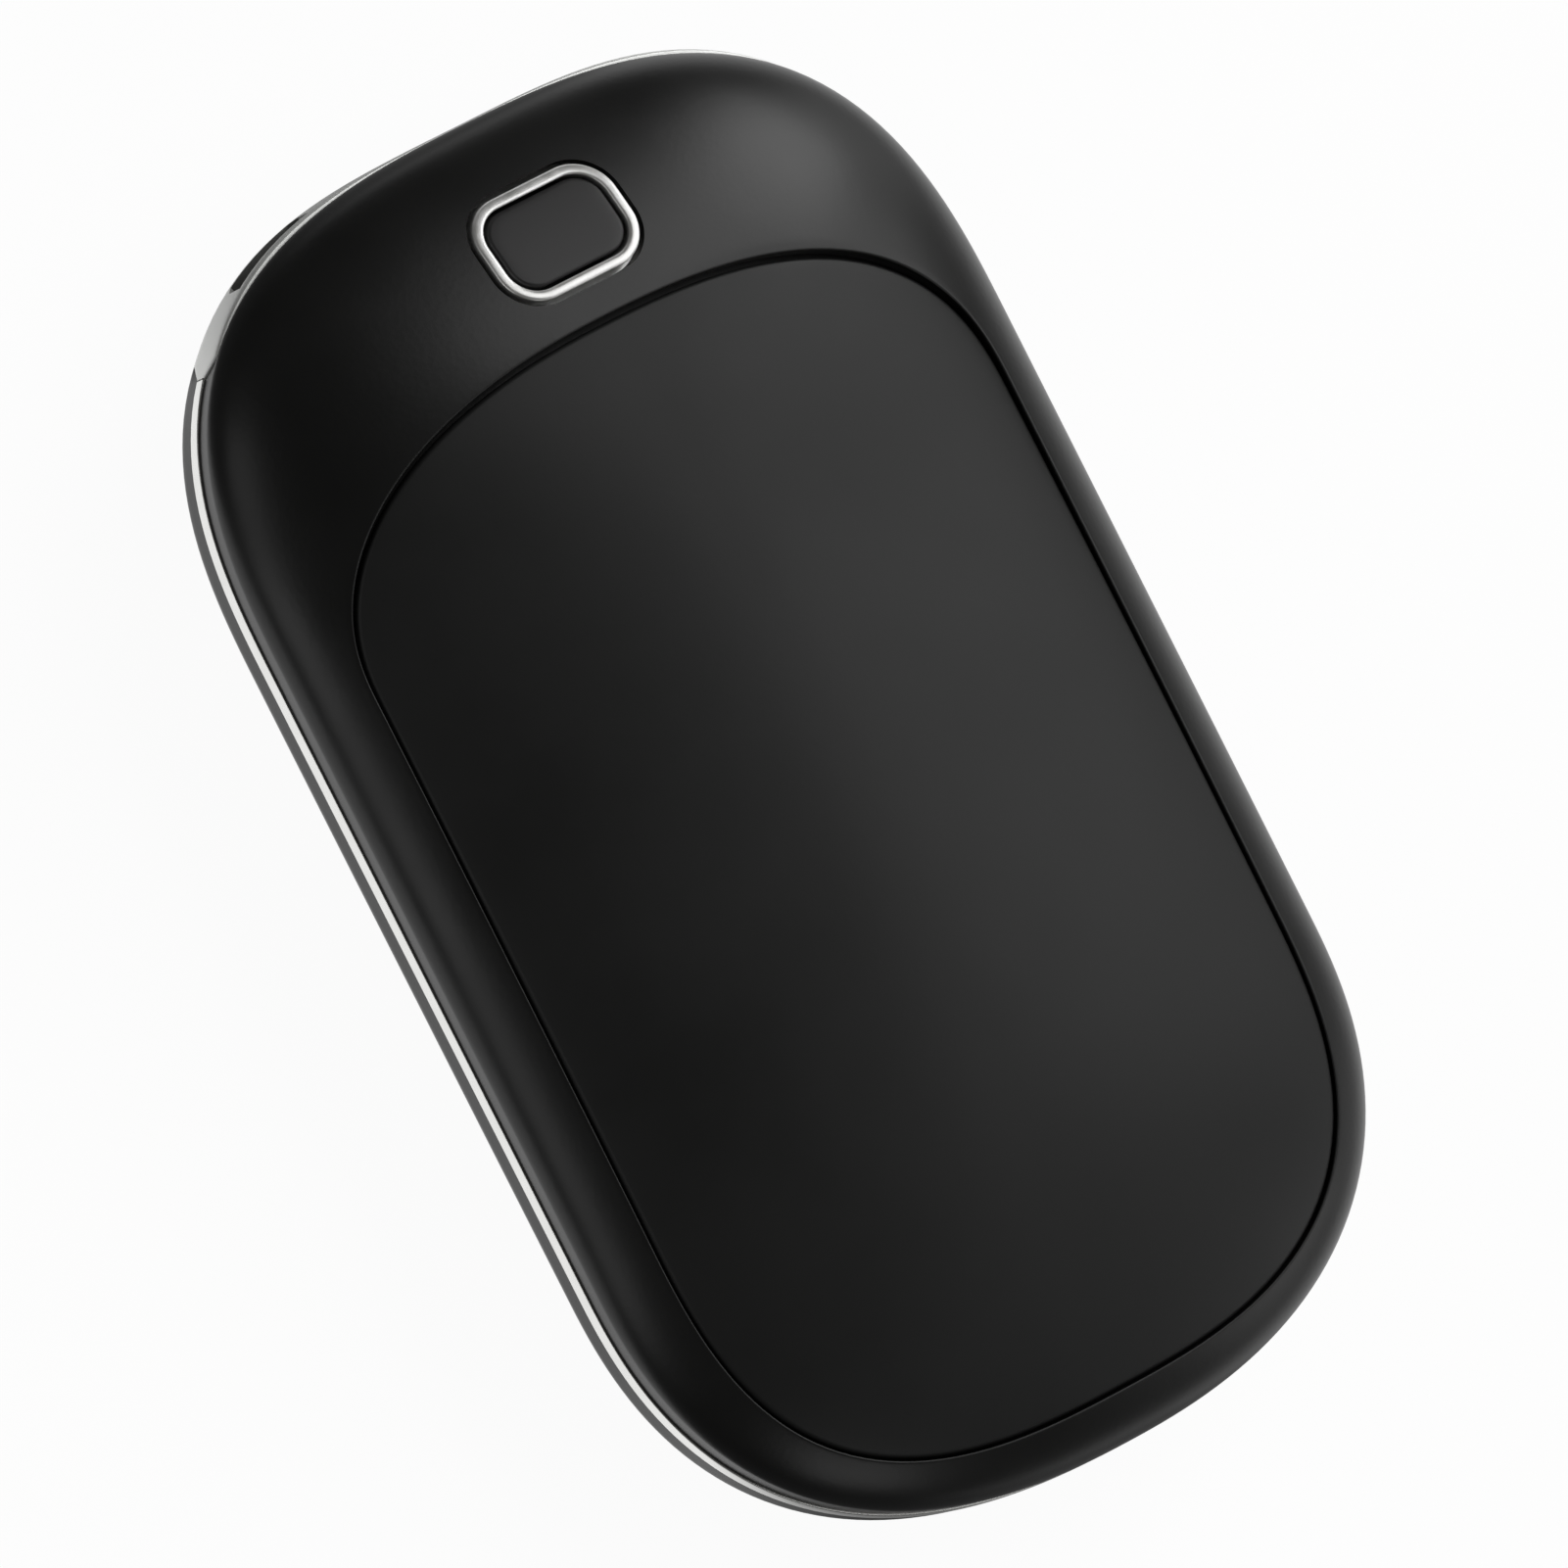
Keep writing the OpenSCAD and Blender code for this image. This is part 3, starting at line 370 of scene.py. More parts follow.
PLATE_ROUND = 0.35 * MM
PLATE_ROUND_STEPS = 6
PLATE_RINGS = 30
MIDDLE_SHARE = 0.02
BACK_SHARES = (MIDDLE_SHARE, 0.25, 0.5, 0.75, 0.93, 1)
GROOVE_ARCH = 0.38 * MM
GROOVE_SIDE = 0.18 * MM
ARCH_SPREAD = 1.7
ARCH_SHARE = np.where(STATIONS < 1, np.clip(ARCH_SPREAD * np.sin(math.pi * STATIONS), 0, 1), 0)[:, None]


def plate_outline(inset, share=1):
    """A plate's outline, inset and shrunk. Its groove is wide at the arch and narrow elsewhere."""
    arch = PLATE.inset(GROOVE_ARCH + inset).shrink(share).points(STATIONS)
    side = PLATE.inset(GROOVE_SIDE + inset).shrink(share).points(STATIONS)
    return side + (arch - side) * ARCH_SHARE


def plate_rings(face):
    """A plate's section at each station, from the middle of its back round the rim to its face."""
    rings = [on_face(plate_outline(0, share), face, PLATE_T) for share in BACK_SHARES]
    for away, drop in reversed(fillet(PLATE_ROUND, PLATE_ROUND_STEPS)):
        rings.append(on_face(plate_outline(away), face, drop))
    for k in range(1, PLATE_RINGS + 1):
        share = 1 - (1 - MIDDLE_SHARE) * k / PLATE_RINGS
        rings.append(on_face(plate_outline(PLATE_ROUND, share), face))
    return np.stack(rings, 1)


FLAT_SOFT = 0.03 * MM


def rear_plate_z(x, y):
    """The rear plate's face before it is turned over, flat where the warmer lies on a table."""
    over = plate_z(x, y) - MID_Z
    return MID_Z + over - (over + np.hypot(over, FLAT_SOFT)) / 2 - FLAT_SOFT / 4


# Trim band and port cap: one rounded section between the shells, low as the band and high as the cap

BAND_RINGS = 28
BAND_POWER = 6
BAND_FIT = 0.02 * MM
CAP_FIT = 0.06 * MM
# The cap swells more at its two shoulders. A power under 1 brings them nearer to its ends.
CAP_SWELL = 0.3 * MM
SHOULDER_POWER = 0.75


def rounded(share):
    return math.copysign(abs(share) ** (2 / BAND_POWER), share)


def shoulder(stations):
    """Nothing at the cap's ends and tip, and 1 at its two shoulders between them."""
    along = np.clip((np.minimum(stations, 1 - stations) - CAP_FROM) / (0.5 - CAP_FROM), 0, 1)
    return np.sin(math.pi * along ** SHOULDER_POWER) ** 2


def band_rings(stations, fit, extra):
    """Sections of the band or the cap, which leave a fit to the skirts and can swell more."""
    sections = []
    for station, half, more in zip(stations, skirt_z(stations) - fit, extra):
        profile = [(BAND_T, -half)]
        for k in range(BAND_RINGS + 1):
            turn = math.pi * k / BAND_RINGS - math.pi / 2
            swell = (BAND_BULGE + SKIRT_IN + more) * rounded(math.cos(turn))
            profile.append((SKIRT_IN - swell, half * rounded(math.sin(turn))))
        profile.append((BAND_T, half))
        sections.append([[*CASE.inset(depth).points([station])[0], z] for depth, z in profile])
    sections = np.array(sections)
    sections[..., 1] = np.minimum(sections[..., 1], CAD_BOX[1].y)
    return sections


CAP_STATIONS = BUTTON_END[(BUTTON_END >= CAP_FROM) & (BUTTON_END <= CAP_TO)]
BAND_STATIONS = np.concatenate([[CAP_TO + CAP_JOINT], BUTTON_END[BUTTON_END > CAP_TO],
                                STATIONS[STATIONS >= 1],
                                4 + BUTTON_END[BUTTON_END < CAP_FROM], [4 + CAP_FROM - CAP_JOINT]])


# Button

RIM_W = 0.8 * MM
RIM_PROUD = 0.25 * MM
RIM_POWER = 0.7
RIM_STEPS = 16
RING_R = 2.7 * MM
BEZEL_FLANGE = 0.9 * MM
BEZEL_FLANGE_T = 0.8 * MM
RING_W = RING_HIGH.x - RING_LOW.x - RIM_W - 2 * BEZEL_FLANGE
RING_L = RING_HIGH.y - RING_LOW.y - RIM_W - 2 * BEZEL_FLANGE
BUTTON_Y = (RING_HIGH.y + RING_LOW.y) / 2
CORNER_STEPS = 20
SIDE_POINTS = 6


def ring_outline(grow):
    """The ring's outline, grown by an amount: round corners and straight sides."""
    radius = RING_R + grow
    corners = [(right * (RING_W / 2 - RING_R), BUTTON_Y + up * (RING_L / 2 - RING_R))
               for right, up in ((1, 1), (-1, 1), (-1, -1), (1, -1))]
    points = []
    for quarter, (x, y) in enumerate(corners):
        for i in range(CORNER_STEPS + 1):
            turn = math.pi / 2 * (quarter + i / CORNER_STEPS)
            points.append((x + radius * math.cos(turn), y + radius * math.sin(turn)))
        next_x, next_y = corners[(quarter + 1) % 4]
        side_start = np.array(points[-1])
        side_end = np.array((next_x + radius * math.cos(turn), next_y + radius * math.sin(turn)))
        for i in range(1, SIDE_POINTS):
            points.append(tuple(side_start + (side_end - side_start) * i / SIDE_POINTS))
    return np.array(points)


def bezel_piece():
    """The bright ring: a rounded rim over the skin and a flange behind the shell's wall."""
    back = WALL + SMALL_FIT
    profile = []
    for i in range(RIM_STEPS + 1):
        turn = math.pi * i / RIM_STEPS
        side, up = math.cos(turn), math.sin(turn)
        grow = RIM_W / 2 * math.copysign(abs(side) ** RIM_POWER, side)
        profile.append((grow, -RIM_PROUD * up ** RIM_POWER))
    profile += [(-RIM_W / 2, back + BEZEL_FLANGE_T), (RIM_W / 2 + BEZEL_FLANGE, back + BEZEL_FLANGE_T),
                (RIM_W / 2 + BEZEL_FLANGE, back), (RIM_W / 2, back)]
    rings = np.stack([on_face(ring_outline(grow), skin_z, depth) for grow, depth in profile], 1)
    return loop_piece("button_bezel_bright", rings)


HOLE_GAP = 0.36 * MM
KEY_GAP = 0.25 * MM
KEY_ROUND = 0.3 * MM
KEY_ROUND_STEPS = 6
KEY_PROUD = 0.08 * MM
KEY_FLANGE = 0.9 * MM
KEY_FLANGE_T = 0.7 * MM
KEY_DEPTH = WALL + BEZEL_FLANGE_T + 2 * SMALL_FIT
KEY_FACE_SHARES = (0.85, 0.7, 0.55, 0.4, 0.25, 0.1)


def button_piece():
    """The dark key: a flange behind the ring's, a stem through the ring and a rounded face."""
    edge = -RIM_W / 2 - KEY_GAP
    flange = ring_outline(edge + KEY_FLANGE)
    rings = [on_face(flange, skin_z, KEY_DEPTH + KEY_FLANGE_T), on_face(flange, skin_z, KEY_DEPTH),
             on_face(ring_outline(edge), skin_z, KEY_DEPTH)]
    for away, drop in reversed(fillet(KEY_ROUND, KEY_ROUND_STEPS)):
        rings.append(on_face(ring_outline(edge - away), skin_z, drop - KEY_PROUD))
    rim = ring_outline(edge - KEY_ROUND)
    middle = np.array([0, BUTTON_Y])
    for share in KEY_FACE_SHARES:
        rings.append(on_face(middle + (rim - middle) * share, skin_z, -KEY_PROUD))
    rings = np.stack(rings, 1)
    sections, points = rings.shape[:2]
    faces = grid_faces(sections, points, True, False)
    faces.append(tuple(section * points + points - 1 for section in range(sections)))
    faces.append(tuple(section * points for section in reversed(range(sections))))
    return add_rings("button_cap_key", rings, faces)


# Cutters and their cuts

def prism(name, outline, low, high, matrix=Matrix.Identity(4)):
    """A cutter: an outline run between two heights."""
    count = len(outline)
    points = [(x, y, z) for z in (low, high) for x, y in outline]
    faces = [(i, (i + 1) % count, count + (i + 1) % count, count + i) for i in range(count)]
    faces += [tuple(reversed(range(count))), tuple(range(count, 2 * count))]
    cutter = add_mesh(name, points, faces)
    cutter.data.transform(matrix)
    return cutter


def cut(piece, cutters):
    """Cuts each cutter out of a piece and keeps the result as its mesh."""
    for cutter in cutters:
        step = piece.modifiers.new(cutter.name, "BOOLEAN")
        step.operation = "DIFFERENCE"
        step.solver = "EXACT"
        step.object = cutter
    graph = bpy.context.evaluated_depsgraph_get()
    mesh = bpy.data.meshes.new_from_object(piece.evaluated_get(graph))
    piece.modifiers.clear()
    piece.data = mesh
    mesh.set_sharp_from_angle(angle=SMOOTH_ANGLE)


SLOPE_STEP = 0.01 * MM
SHADE_REACH = 2.5 * MM
SHADE_LIKENESS = 0.995


def skin_slopes(x, y):
    """Unit normals of the unbroken skin at some places."""
    slopes = np.stack([skin_z(x - SLOPE_STEP, y) - skin_z(x + SLOPE_STEP, y),
                       skin_z(x, y - SLOPE_STEP) - skin_z(x, y + SLOPE_STEP),
                       np.full(len(x), 2 * SLOPE_STEP)], -1)
    return slopes / np.linalg.norm(slopes, axis=1)[:, None]


def shade_as_skin(shell):
    """Gives the faces round the button's hole the normals of the unbroken skin."""
    mesh = shell.data
    normals = np.empty(len(mesh.loops) * 3)
    mesh.corner_normals.foreach_get("vector", normals)
    normals = normals.reshape(-1, 3)
    reach = np.array([RING_W, RING_L]) / 2 + SHADE_REACH
    for face in mesh.polygons:
        if np.any(np.abs(np.array(face.center)[:2] - (0, BUTTON_Y)) > reach):
            continue
        xy = np.array([mesh.vertices[i].co[:2] for i in face.vertices])
        slopes = skin_slopes(xy[:, 0], xy[:, 1])
        if np.all(slopes @ np.array(face.normal) > SHADE_LIKENESS):
            normals[list(face.loop_indices)] = slopes
    mesh.normals_split_custom_set(normals.tolist())


# Mouths in the cap: the charging slot on the left and the status lights on the right

PORT_X = 16.6 * MM
PORT_W = 7.4 * MM
PORT_H = 2.6 * MM
PORT_CHAMFER = 0.7 * MM
PORT_CLEAR = 0.15 * MM
LIGHT_COUNT = 4
LIGHT_PITCH = 2.2 * MM
LIGHT_R = 0.6 * MM
LIGHT_CLEAR = 0.05 * MM
ROUND_STEPS = 32
MOUTH_DEPTH = 3.8 * MM
MOUTH_OUT = 2 * MM
# The faces in the cap's thickness, seen in the mouths, get a dark tint of painted shade
MOUTH_MARK = "mouth_shade"
MARK_FROM = 0.1 * MM
MARK_TO = BAND_T - 0.05 * MM

# Where the button end has the port's x: its share of the width, its height and its turn
PORT_SHARE = PORT_X / CASE.half_w
PORT_RISE = (1 - PORT_SHARE ** CASE.top_power) ** (1 / CASE.top_power)
PORT_Y = CASE.top - CASE.top_end * (1 - PORT_RISE)
PORT_TURN = math.atan(CASE.top_end / CASE.half_w * (PORT_SHARE / PORT_RISE) ** (CASE.top_power - 1))


def at_cap(side):
    """A frame on the cap whose Z points out of it and whose Y points up; side is -1 for the port."""
    out = Vector((side * math.sin(PORT_TURN), math.cos(PORT_TURN), 0))
    up = Vector((0, 0, 1))
    right = up.cross(out)
    turn = Matrix((right, up, out)).transposed().to_4x4()
    return Matrix.Translation((side * PORT_X, PORT_Y, MID_Z)) @ turn


def port_outline(grow):
    """The charging slot's outline, with its two lower corners cut off."""
    x, z, corner = PORT_W / 2 + grow, PORT_H / 2 + grow, PORT_CHAMFER
    return [(-x, z), (-x, corner - z), (corner - x, -z), (x - corner, -z), (x, corner - z), (x, z)]


def circle(middle, radius):
    turns = [2 * math.pi * i / ROUND_STEPS for i in range(ROUND_STEPS)]
    return [(middle + radius * math.cos(turn), radius * math.sin(turn)) for turn in turns]


def mouth_cutters():
    """Cutters for the charging slot and for the row of status lights."""
    cutters = [prism("port_mouth", port_outline(PORT_CLEAR), -MOUTH_DEPTH, MOUTH_OUT, at_cap(-1))]
    for i in range(LIGHT_COUNT):
        x = (i - (LIGHT_COUNT - 1) / 2) * LIGHT_PITCH
        cutters.append(prism(f"light_mouth_{i}", circle(x, LIGHT_R + LIGHT_CLEAR), -MOUTH_DEPTH,
                             MOUTH_OUT, at_cap(1)))
    return cutters


def mark_mouths(cap):
    """Marks the faces inside the cap's thickness, where the mouths go through it, for painted shade."""
    outer, inner = CASE.inset(MARK_FROM), CASE.inset(MARK_TO)
    marks = []
    for face in cap.data.polygons:
        x, y = face.center[:2]
        marks.append(float(outer.gauge(x, y) < 1 < inner.gauge(x, y)))
    cap.data.attributes.new(MOUTH_MARK, "FLOAT", "FACE").data.foreach_set("value", marks)


# Material building blocks

def new_material(name):
    mat = bpy.data.materials.new(name)
    mat.use_nodes = True
    mat.node_tree.nodes.clear()
    return mat, mat.node_tree, mat.node_tree.nodes.new("ShaderNodeOutputMaterial")


def node(tree, kind, inputs=None, **settings):
    """A new node with its settings, and its inputs linked to sockets or set to values."""
    made = tree.nodes.new(kind)
    for key, value in settings.items():
        setattr(made, key, value)
    for key, value in (inputs or {}).items():
        socket = made.inputs[key]
        if isinstance(value, bpy.types.NodeSocket):
            tree.links.new(value, socket)
        else:
            socket.default_value = value
    return made


def maths(tree, operation, *values):
    return node(tree, "ShaderNodeMath", dict(enumerate(values)), operation=operation).outputs[0]


def spread(tree, value, given, wanted, **settings):
    """A value that runs over the given span, spread over the wanted one."""
    spans = {"From Min": given[0], "From Max": given[1], "To Min": wanted[0], "To Max": wanted[1]}
    return node(tree, "ShaderNodeMapRange", {"Value": value, **spans}, **settings).outputs[0]


def tinted(tree, colour, mask, tint):
    """A colour that gives way to a tint under a mask."""
    return node(tree, "ShaderNodeMix", {"Factor": mask, "A": colour, "B": (*tint, 1)},
                data_type="RGBA").outputs["Result"]


def new_group(name, inputs, outputs):
    """A group whose inputs, each with its default, and outputs are numbers."""
    group = bpy.data.node_groups.new(name, "ShaderNodeTree")
    for label, default in inputs.items():
        socket = group.interface.new_socket(label, in_out="INPUT", socket_type="NodeSocketFloat")
        socket.default_value = default
    for label in outputs:
        group.interface.new_socket(label, in_out="OUTPUT", socket_type="NodeSocketFloat")
    return group, group.nodes.new("NodeGroupInput").outputs, group.nodes.new("NodeGroupOutput").inputs


def placed_group(tree, group, **values):
    made = tree.nodes.new("ShaderNodeGroup")
    made.node_tree = group
    for key, value in values.items():
        made.inputs[key.replace("_", " ")].default_value = value
    return made


def fine_grain_group():
    """Moulded grain: a height for bump and a slow mottle for colour and roughness."""
    group, given, out = new_group("fine_grain", {"Grain Size": 1.0, "Mottle Size": 1.0},
                                  ["Height", "Mottle"])
    place = node(group, "ShaderNodeTexCoord").outputs["Object"]
    grain = node(group, "ShaderNodeTexNoise",
                 {"Vector": place, "Scale": given["Grain Size"], "Detail": 3.0, "Roughness": 0.6})
    cells = node(group, "ShaderNodeTexVoronoi", {"Vector": place, "Scale": given["Grain Size"]})
    mottle = node(group, "ShaderNodeTexNoise",
                  {"Vector": place, "Scale": given["Mottle Size"], "Detail": 4.0, "Roughness": 0.55})
    height = maths(group, "MULTIPLY", grain.outputs["Fac"], cells.outputs["Distance"])
    group.links.new(height, out["Height"])
    group.links.new(mottle.outputs["Fac"], out["Mottle"])
    return group


# Radius of a speck as a share of the space between specks
SPECK_R = 0.18


def dust_group():
    """Sparse specks of dust, as a mask."""
    group, given, out = new_group("pocket_dust", {"Speck Size": 1.0, "Amount": 0.1}, ["Mask"])
    place = node(group, "ShaderNodeTexCoord").outputs["Object"]
    specks = node(group, "ShaderNodeTexVoronoi", {"Vector": place, "Scale": given["Speck Size"]})
    chosen = maths(group, "LESS_THAN", specks.outputs["Color"], given["Amount"])
    near = spread(group, specks.outputs["Distance"], (0.0, SPECK_R), (1.0, 0.0))
    group.links.new(maths(group, "MULTIPLY", chosen, near), out["Mask"])
    return group


def skirt_gloss_group():
    """A mask of the upright skirts beside the trim, which are moulded glossier than the faces."""
    group, given, out = new_group(
        "skirt_gloss",
        {"Middle Height": 0.0, "Skirt Height": 0.001, "Fade": 0.001, "Gloss": 0.5}, ["Mask"])
    place = node(group, "ShaderNodeTexCoord").outputs["Object"]
    height = node(group, "ShaderNodeSeparateXYZ", {0: place}).outputs["Z"]
    away = maths(group, "ABSOLUTE", maths(group, "SUBTRACT", height, given["Middle Height"]))
    fade_end = maths(group, "ADD", given["Skirt Height"], given["Fade"])
    mask = spread(group, away, (given["Skirt Height"], fade_end), (given["Gloss"], 0.0),
                  interpolation_type="SMOOTHSTEP")
    group.links.new(mask, out["Mask"])
    return group


FINE_GRAIN = fine_grain_group()
SKIRT_GLOSS = skirt_gloss_group()
POCKET_DUST = dust_group()

# The mottle's greys that give a finish its dark and its light end
MOTTLE_SPAN = (0.35, 0.65)
GRAIN_HEIGHT = 0.1 * MM
SPECKS_PER_METRE = 900
DUST_COLOUR = (0.3, 0.29, 0.27)
SKIRT_FADE = 0.9 * MM


def ramp(tree, factor, stops):
    made = node(tree, "ShaderNodeValToRGB", {"Fac": factor})
    for element, (place, colour) in zip(made.color_ramp.elements, stops):
        element.position = place
        element.color = (*colour, 1)
    return made.outputs["Color"]


def grained(name, dark, light, rough=(0.4, 0.5), grain=2200, mottle=60, bump=0.05, metallic=0.0,
            dust=0.0, skirts=0.0, mouth_painted_shade=None, **shader_values):
    """A finish whose colour and roughness drift with a mottle, over a fine grain.

    It can have dust, a gloss on the skirts and painted shade on the faces that carry the mouth mark.
    """
    mat, tree, out = new_material(name)
    shader = node(tree, "ShaderNodeBsdfPrincipled")
    texture = placed_group(tree, FINE_GRAIN, Grain_Size=grain, Mottle_Size=mottle)
    drift = texture.outputs["Mottle"]
    colour = ramp(tree, drift, zip(MOTTLE_SPAN, (dark, light)))
    if dust:
        specks = placed_group(tree, POCKET_DUST, Speck_Size=SPECKS_PER_METRE, Amount=dust)
        colour = tinted(tree, colour, specks.outputs["Mask"], DUST_COLOUR)
    if mouth_painted_shade:
        mark = node(tree, "ShaderNodeAttribute", attribute_name=MOUTH_MARK)
        colour = tinted(tree, colour, mark.outputs["Fac"], mouth_painted_shade)
    if skirts:
        gloss = placed_group(tree, SKIRT_GLOSS, Middle_Height=MID_Z, Skirt_Height=EDGE_Z,
                             Fade=SKIRT_FADE, Gloss=skirts)
        tree.links.new(gloss.outputs["Mask"], shader.inputs["Coat Weight"])
    raised = node(tree, "ShaderNodeBump", {"Height": texture.outputs["Height"], "Strength": bump,
                                           "Distance": GRAIN_HEIGHT})
    tree.links.new(colour, shader.inputs["Base Color"])
    tree.links.new(spread(tree, drift, MOTTLE_SPAN, rough), shader.inputs["Roughness"])
    tree.links.new(raised.outputs["Normal"], shader.inputs["Normal"])
    tree.links.new(shader.outputs[0], out.inputs["Surface"])
    shader.inputs["Metallic"].default_value = metallic
    for key, value in shader_values.items():
        shader.inputs[key.replace("_", " ")].default_value = value
    return mat


# Finishes of the outside

CASE_BLACK = grained("case_black_plastic", (0.0060, 0.0062, 0.0060), (0.0087, 0.0089, 0.0087),
                     rough=(0.3, 0.35), dust=0.02, bump=0.06, skirts=0.04,
                     Specular_IOR_Level=0.5, Coat_Roughness=0.12)
PLATE_BLACK = grained("plate_soft_touch", (0.0073, 0.0077, 0.0075), (0.0103, 0.0107, 0.0105),
                      rough=(0.46, 0.52), dust=0.015, bump=0.05, Specular_IOR_Level=0.5)
KEY_BLACK = grained("key_black_plastic", (0.020, 0.0192, 0.020), (0.0267, 0.0258, 0.0267),
                    rough=(0.42, 0.5), bump=0.04, Specular_IOR_Level=0.6)
BRIGHT = grained("bright_plating", (0.86, 0.86, 0.84), (0.93, 0.93, 0.91),
                 rough=(0.2, 0.28), metallic=1.0, grain=900, mottle=500, bump=0.02)
RING_BRIGHT = grained("ring_plating", (0.84, 0.84, 0.82), (0.97, 0.97, 0.96),
                      rough=(0.28, 0.38), metallic=0.75, grain=900, mottle=900, bump=0.03)
# The dark tint on the mouths' faces is painted shade inside the slot and the light holes
CAP_SILVER = grained("satin_silver", (0.86, 0.87, 0.85), (0.94, 0.95, 0.93),
                     rough=(0.3, 0.38), metallic=0.6, grain=1500, mottle=220, bump=0.04,
                     mouth_painted_shade=(0.15, 0.15, 0.145))

# Finishes of the inside, by the frame's material slots

INNER_FINISHES = {
    "switch_black": grained("switch_plastic", (0.02, 0.02, 0.02), (0.03, 0.03, 0.03)),
    "plunger_red": grained("plunger_plastic", (0.30, 0.04, 0.02), (0.36, 0.05, 0.03)),
    "cradle_white": grained("cradle_plastic", (0.66, 0.65, 0.60), (0.72, 0.71, 0.66)),
    "cell_blue": grained("cell_sleeve", (0.05, 0.18, 0.42), (0.07, 0.22, 0.48), rough=(0.25, 0.35)),
    "bare_nickel": grained("nickel_plate", (0.58, 0.56, 0.51), (0.66, 0.64, 0.59),
                           rough=(0.22, 0.34), metallic=1.0),
    "board_green": grained("solder_mask", (0.02, 0.13, 0.06), (0.03, 0.17, 0.08), rough=(0.25, 0.35)),
    "ferrite_grey": grained("ferrite", (0.08, 0.08, 0.085), (0.11, 0.11, 0.12), rough=(0.55, 0.7)),
    "led_white": grained("led_resin", (0.80, 0.78, 0.60), (0.86, 0.84, 0.68), rough=(0.2, 0.3)),
    "guide_clear": grained("clear_acrylic", (0.92, 0.94, 0.93), (0.96, 0.97, 0.96),
                           rough=(0.08, 0.14), bump=0.01, Transmission_Weight=0.85, IOR=1.49),
    "heater_amber": grained("heater_film", (0.62, 0.30, 0.05), (0.74, 0.40, 0.09), rough=(0.2, 0.3)),
    "foam_cream": grained("pad_foam", (0.72, 0.69, 0.60), (0.82, 0.79, 0.70),
                          rough=(0.8, 0.95), bump=0.4),
    "lead_red": grained("red_silicone", (0.40, 0.03, 0.02), (0.48, 0.04, 0.03)),
    "lead_white": grained("white_silicone", (0.74, 0.72, 0.66), (0.82, 0.80, 0.74)),
}


# Assembly

def give_finish(piece, material):
    piece.data.materials.clear()
    piece.data.materials.append(material)


def finish_piece(piece, material, slot, body, *replaced):
    give_finish(piece, material)
    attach(piece, body)
    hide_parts(*replaced)


def build_outside():
    """The pieces that show, in place of the frame's."""
    cutters = mouth_cutters()
    hole = prism("button_hole", ring_outline(RIM_W / 2 + HOLE_GAP), MID_Z + HALF_BAND, MID_Z + 2 * CROWN)
    rings = shell_rings()
    front = loop_piece("front_shell_smooth", rings)
    cut(front, [hole, *cutters])
    shade_as_skin(front)
    rear = loop_piece("rear_shell_smooth", turned_over(rings))
    cut(rear, cutters)
    swell = CAP_SWELL * shoulder(CAP_STATIONS)
    cap = run_piece("port_cap_satin", band_rings(CAP_STATIONS, CAP_FIT, swell))
    cut(cap, cutters)
    mark_mouths(cap)
    band = run_piece("trim_band_bright", band_rings(BAND_STATIONS, BAND_FIT, 0 * BAND_STATIONS))
    for cutter in [hole, *cutters]:
        bpy.data.objects.remove(cutter)
    front_plate = lens_piece("front_plate_smooth", plate_rings(plate_z), TIP)
    rear_plate = lens_piece("rear_plate_smooth", turned_over(plate_rings(rear_plate_z)), TIP)
    finish_piece(front, CASE_BLACK, "case_black", "case", "front_shell")
    finish_piece(rear, CASE_BLACK, "case_black", "case", "rear_shell")
    finish_piece(cap, CAP_SILVER, "cap_silver", "case", "port_cap")
    finish_piece(band, BRIGHT, "trim_chrome", "case", "trim_band")
    finish_piece(front_plate, PLATE_BLACK, "plate_black", "case", "front_heat_plate")
    finish_piece(rear_plate, PLATE_BLACK, "plate_black", "case", "rear_heat_plate")
    finish_piece(bezel_piece(), RING_BRIGHT, "trim_chrome", "case", "button_bezel")
    finish_piece(button_piece(), KEY_BLACK, "button_black", "button", "button_cap")


def finish_inside():
    """Gives the frame's own pieces their finishes."""
    slots = {part["node"]: part["material_slot"] for part in frame["record"]["subparts"]}
    for name, piece in frame["nodes"].items():
        if slots[name] in INNER_FINISHES:
            give_finish(piece, INNER_FINISHES[slots[name]])


# Camera: looks down from the left and a little from the button end, and leans over

FROM_LEFT = math.radians(23.5)
FROM_BUTTON_END = math.radians(1.45)
LEAN = math.radians(26.8)
PHOTO_PX = 1601
PX_PER_MM = 14.5
AIM_PX = (2.6, 6.2)
CAMERA_AWAY = 1.6
CAMERA_CLIP = (0.05, 100)
SENSOR_MM = 36


def camera_axes():
    """Right, up and back of the camera, in the part's frame."""
    right = Vector((math.cos(FROM_LEFT), 0, math.sin(FROM_LEFT)))
    back = Vector((-math.sin(FROM_LEFT) * math.cos(FROM_BUTTON_END), math.sin(FROM_BUTTON_END),
                   math.cos(FROM_LEFT) * math.cos(FROM_BUTTON_END)))
    up = back.cross(right)
    return (right * math.cos(LEAN) - up * math.sin(LEAN),
            right * math.sin(LEAN) + up * math.cos(LEAN), back)


def add_camera():
    """A camera that frames the middle of the object as the photograph does."""
    right, up, back = camera_axes()
    data = bpy.data.cameras.new("photo_camera")
    camera = bpy.data.objects.new("photo_camera", data)
    bpy.context.scene.collection.objects.link(camera)
    px = MM / PX_PER_MM
    data.sensor_width = SENSOR_MM
    data.lens = SENSOR_MM * CAMERA_AWAY / (PHOTO_PX * px)
    data.clip_start, data.clip_end = CAMERA_CLIP
    aim = Vector((0, 0, MID_Z)) + right * AIM_PX[0] * px + up * AIM_PX[1] * px
    turn = Matrix((right, up, back)).transposed().to_4x4()
    camera.matrix_world = Matrix.Translation(aim + back * CAMERA_AWAY) @ turn
    bpy.context.scene.camera = camera


# Floor: its tone under the lamps, and its tone and glow where the camera sees it

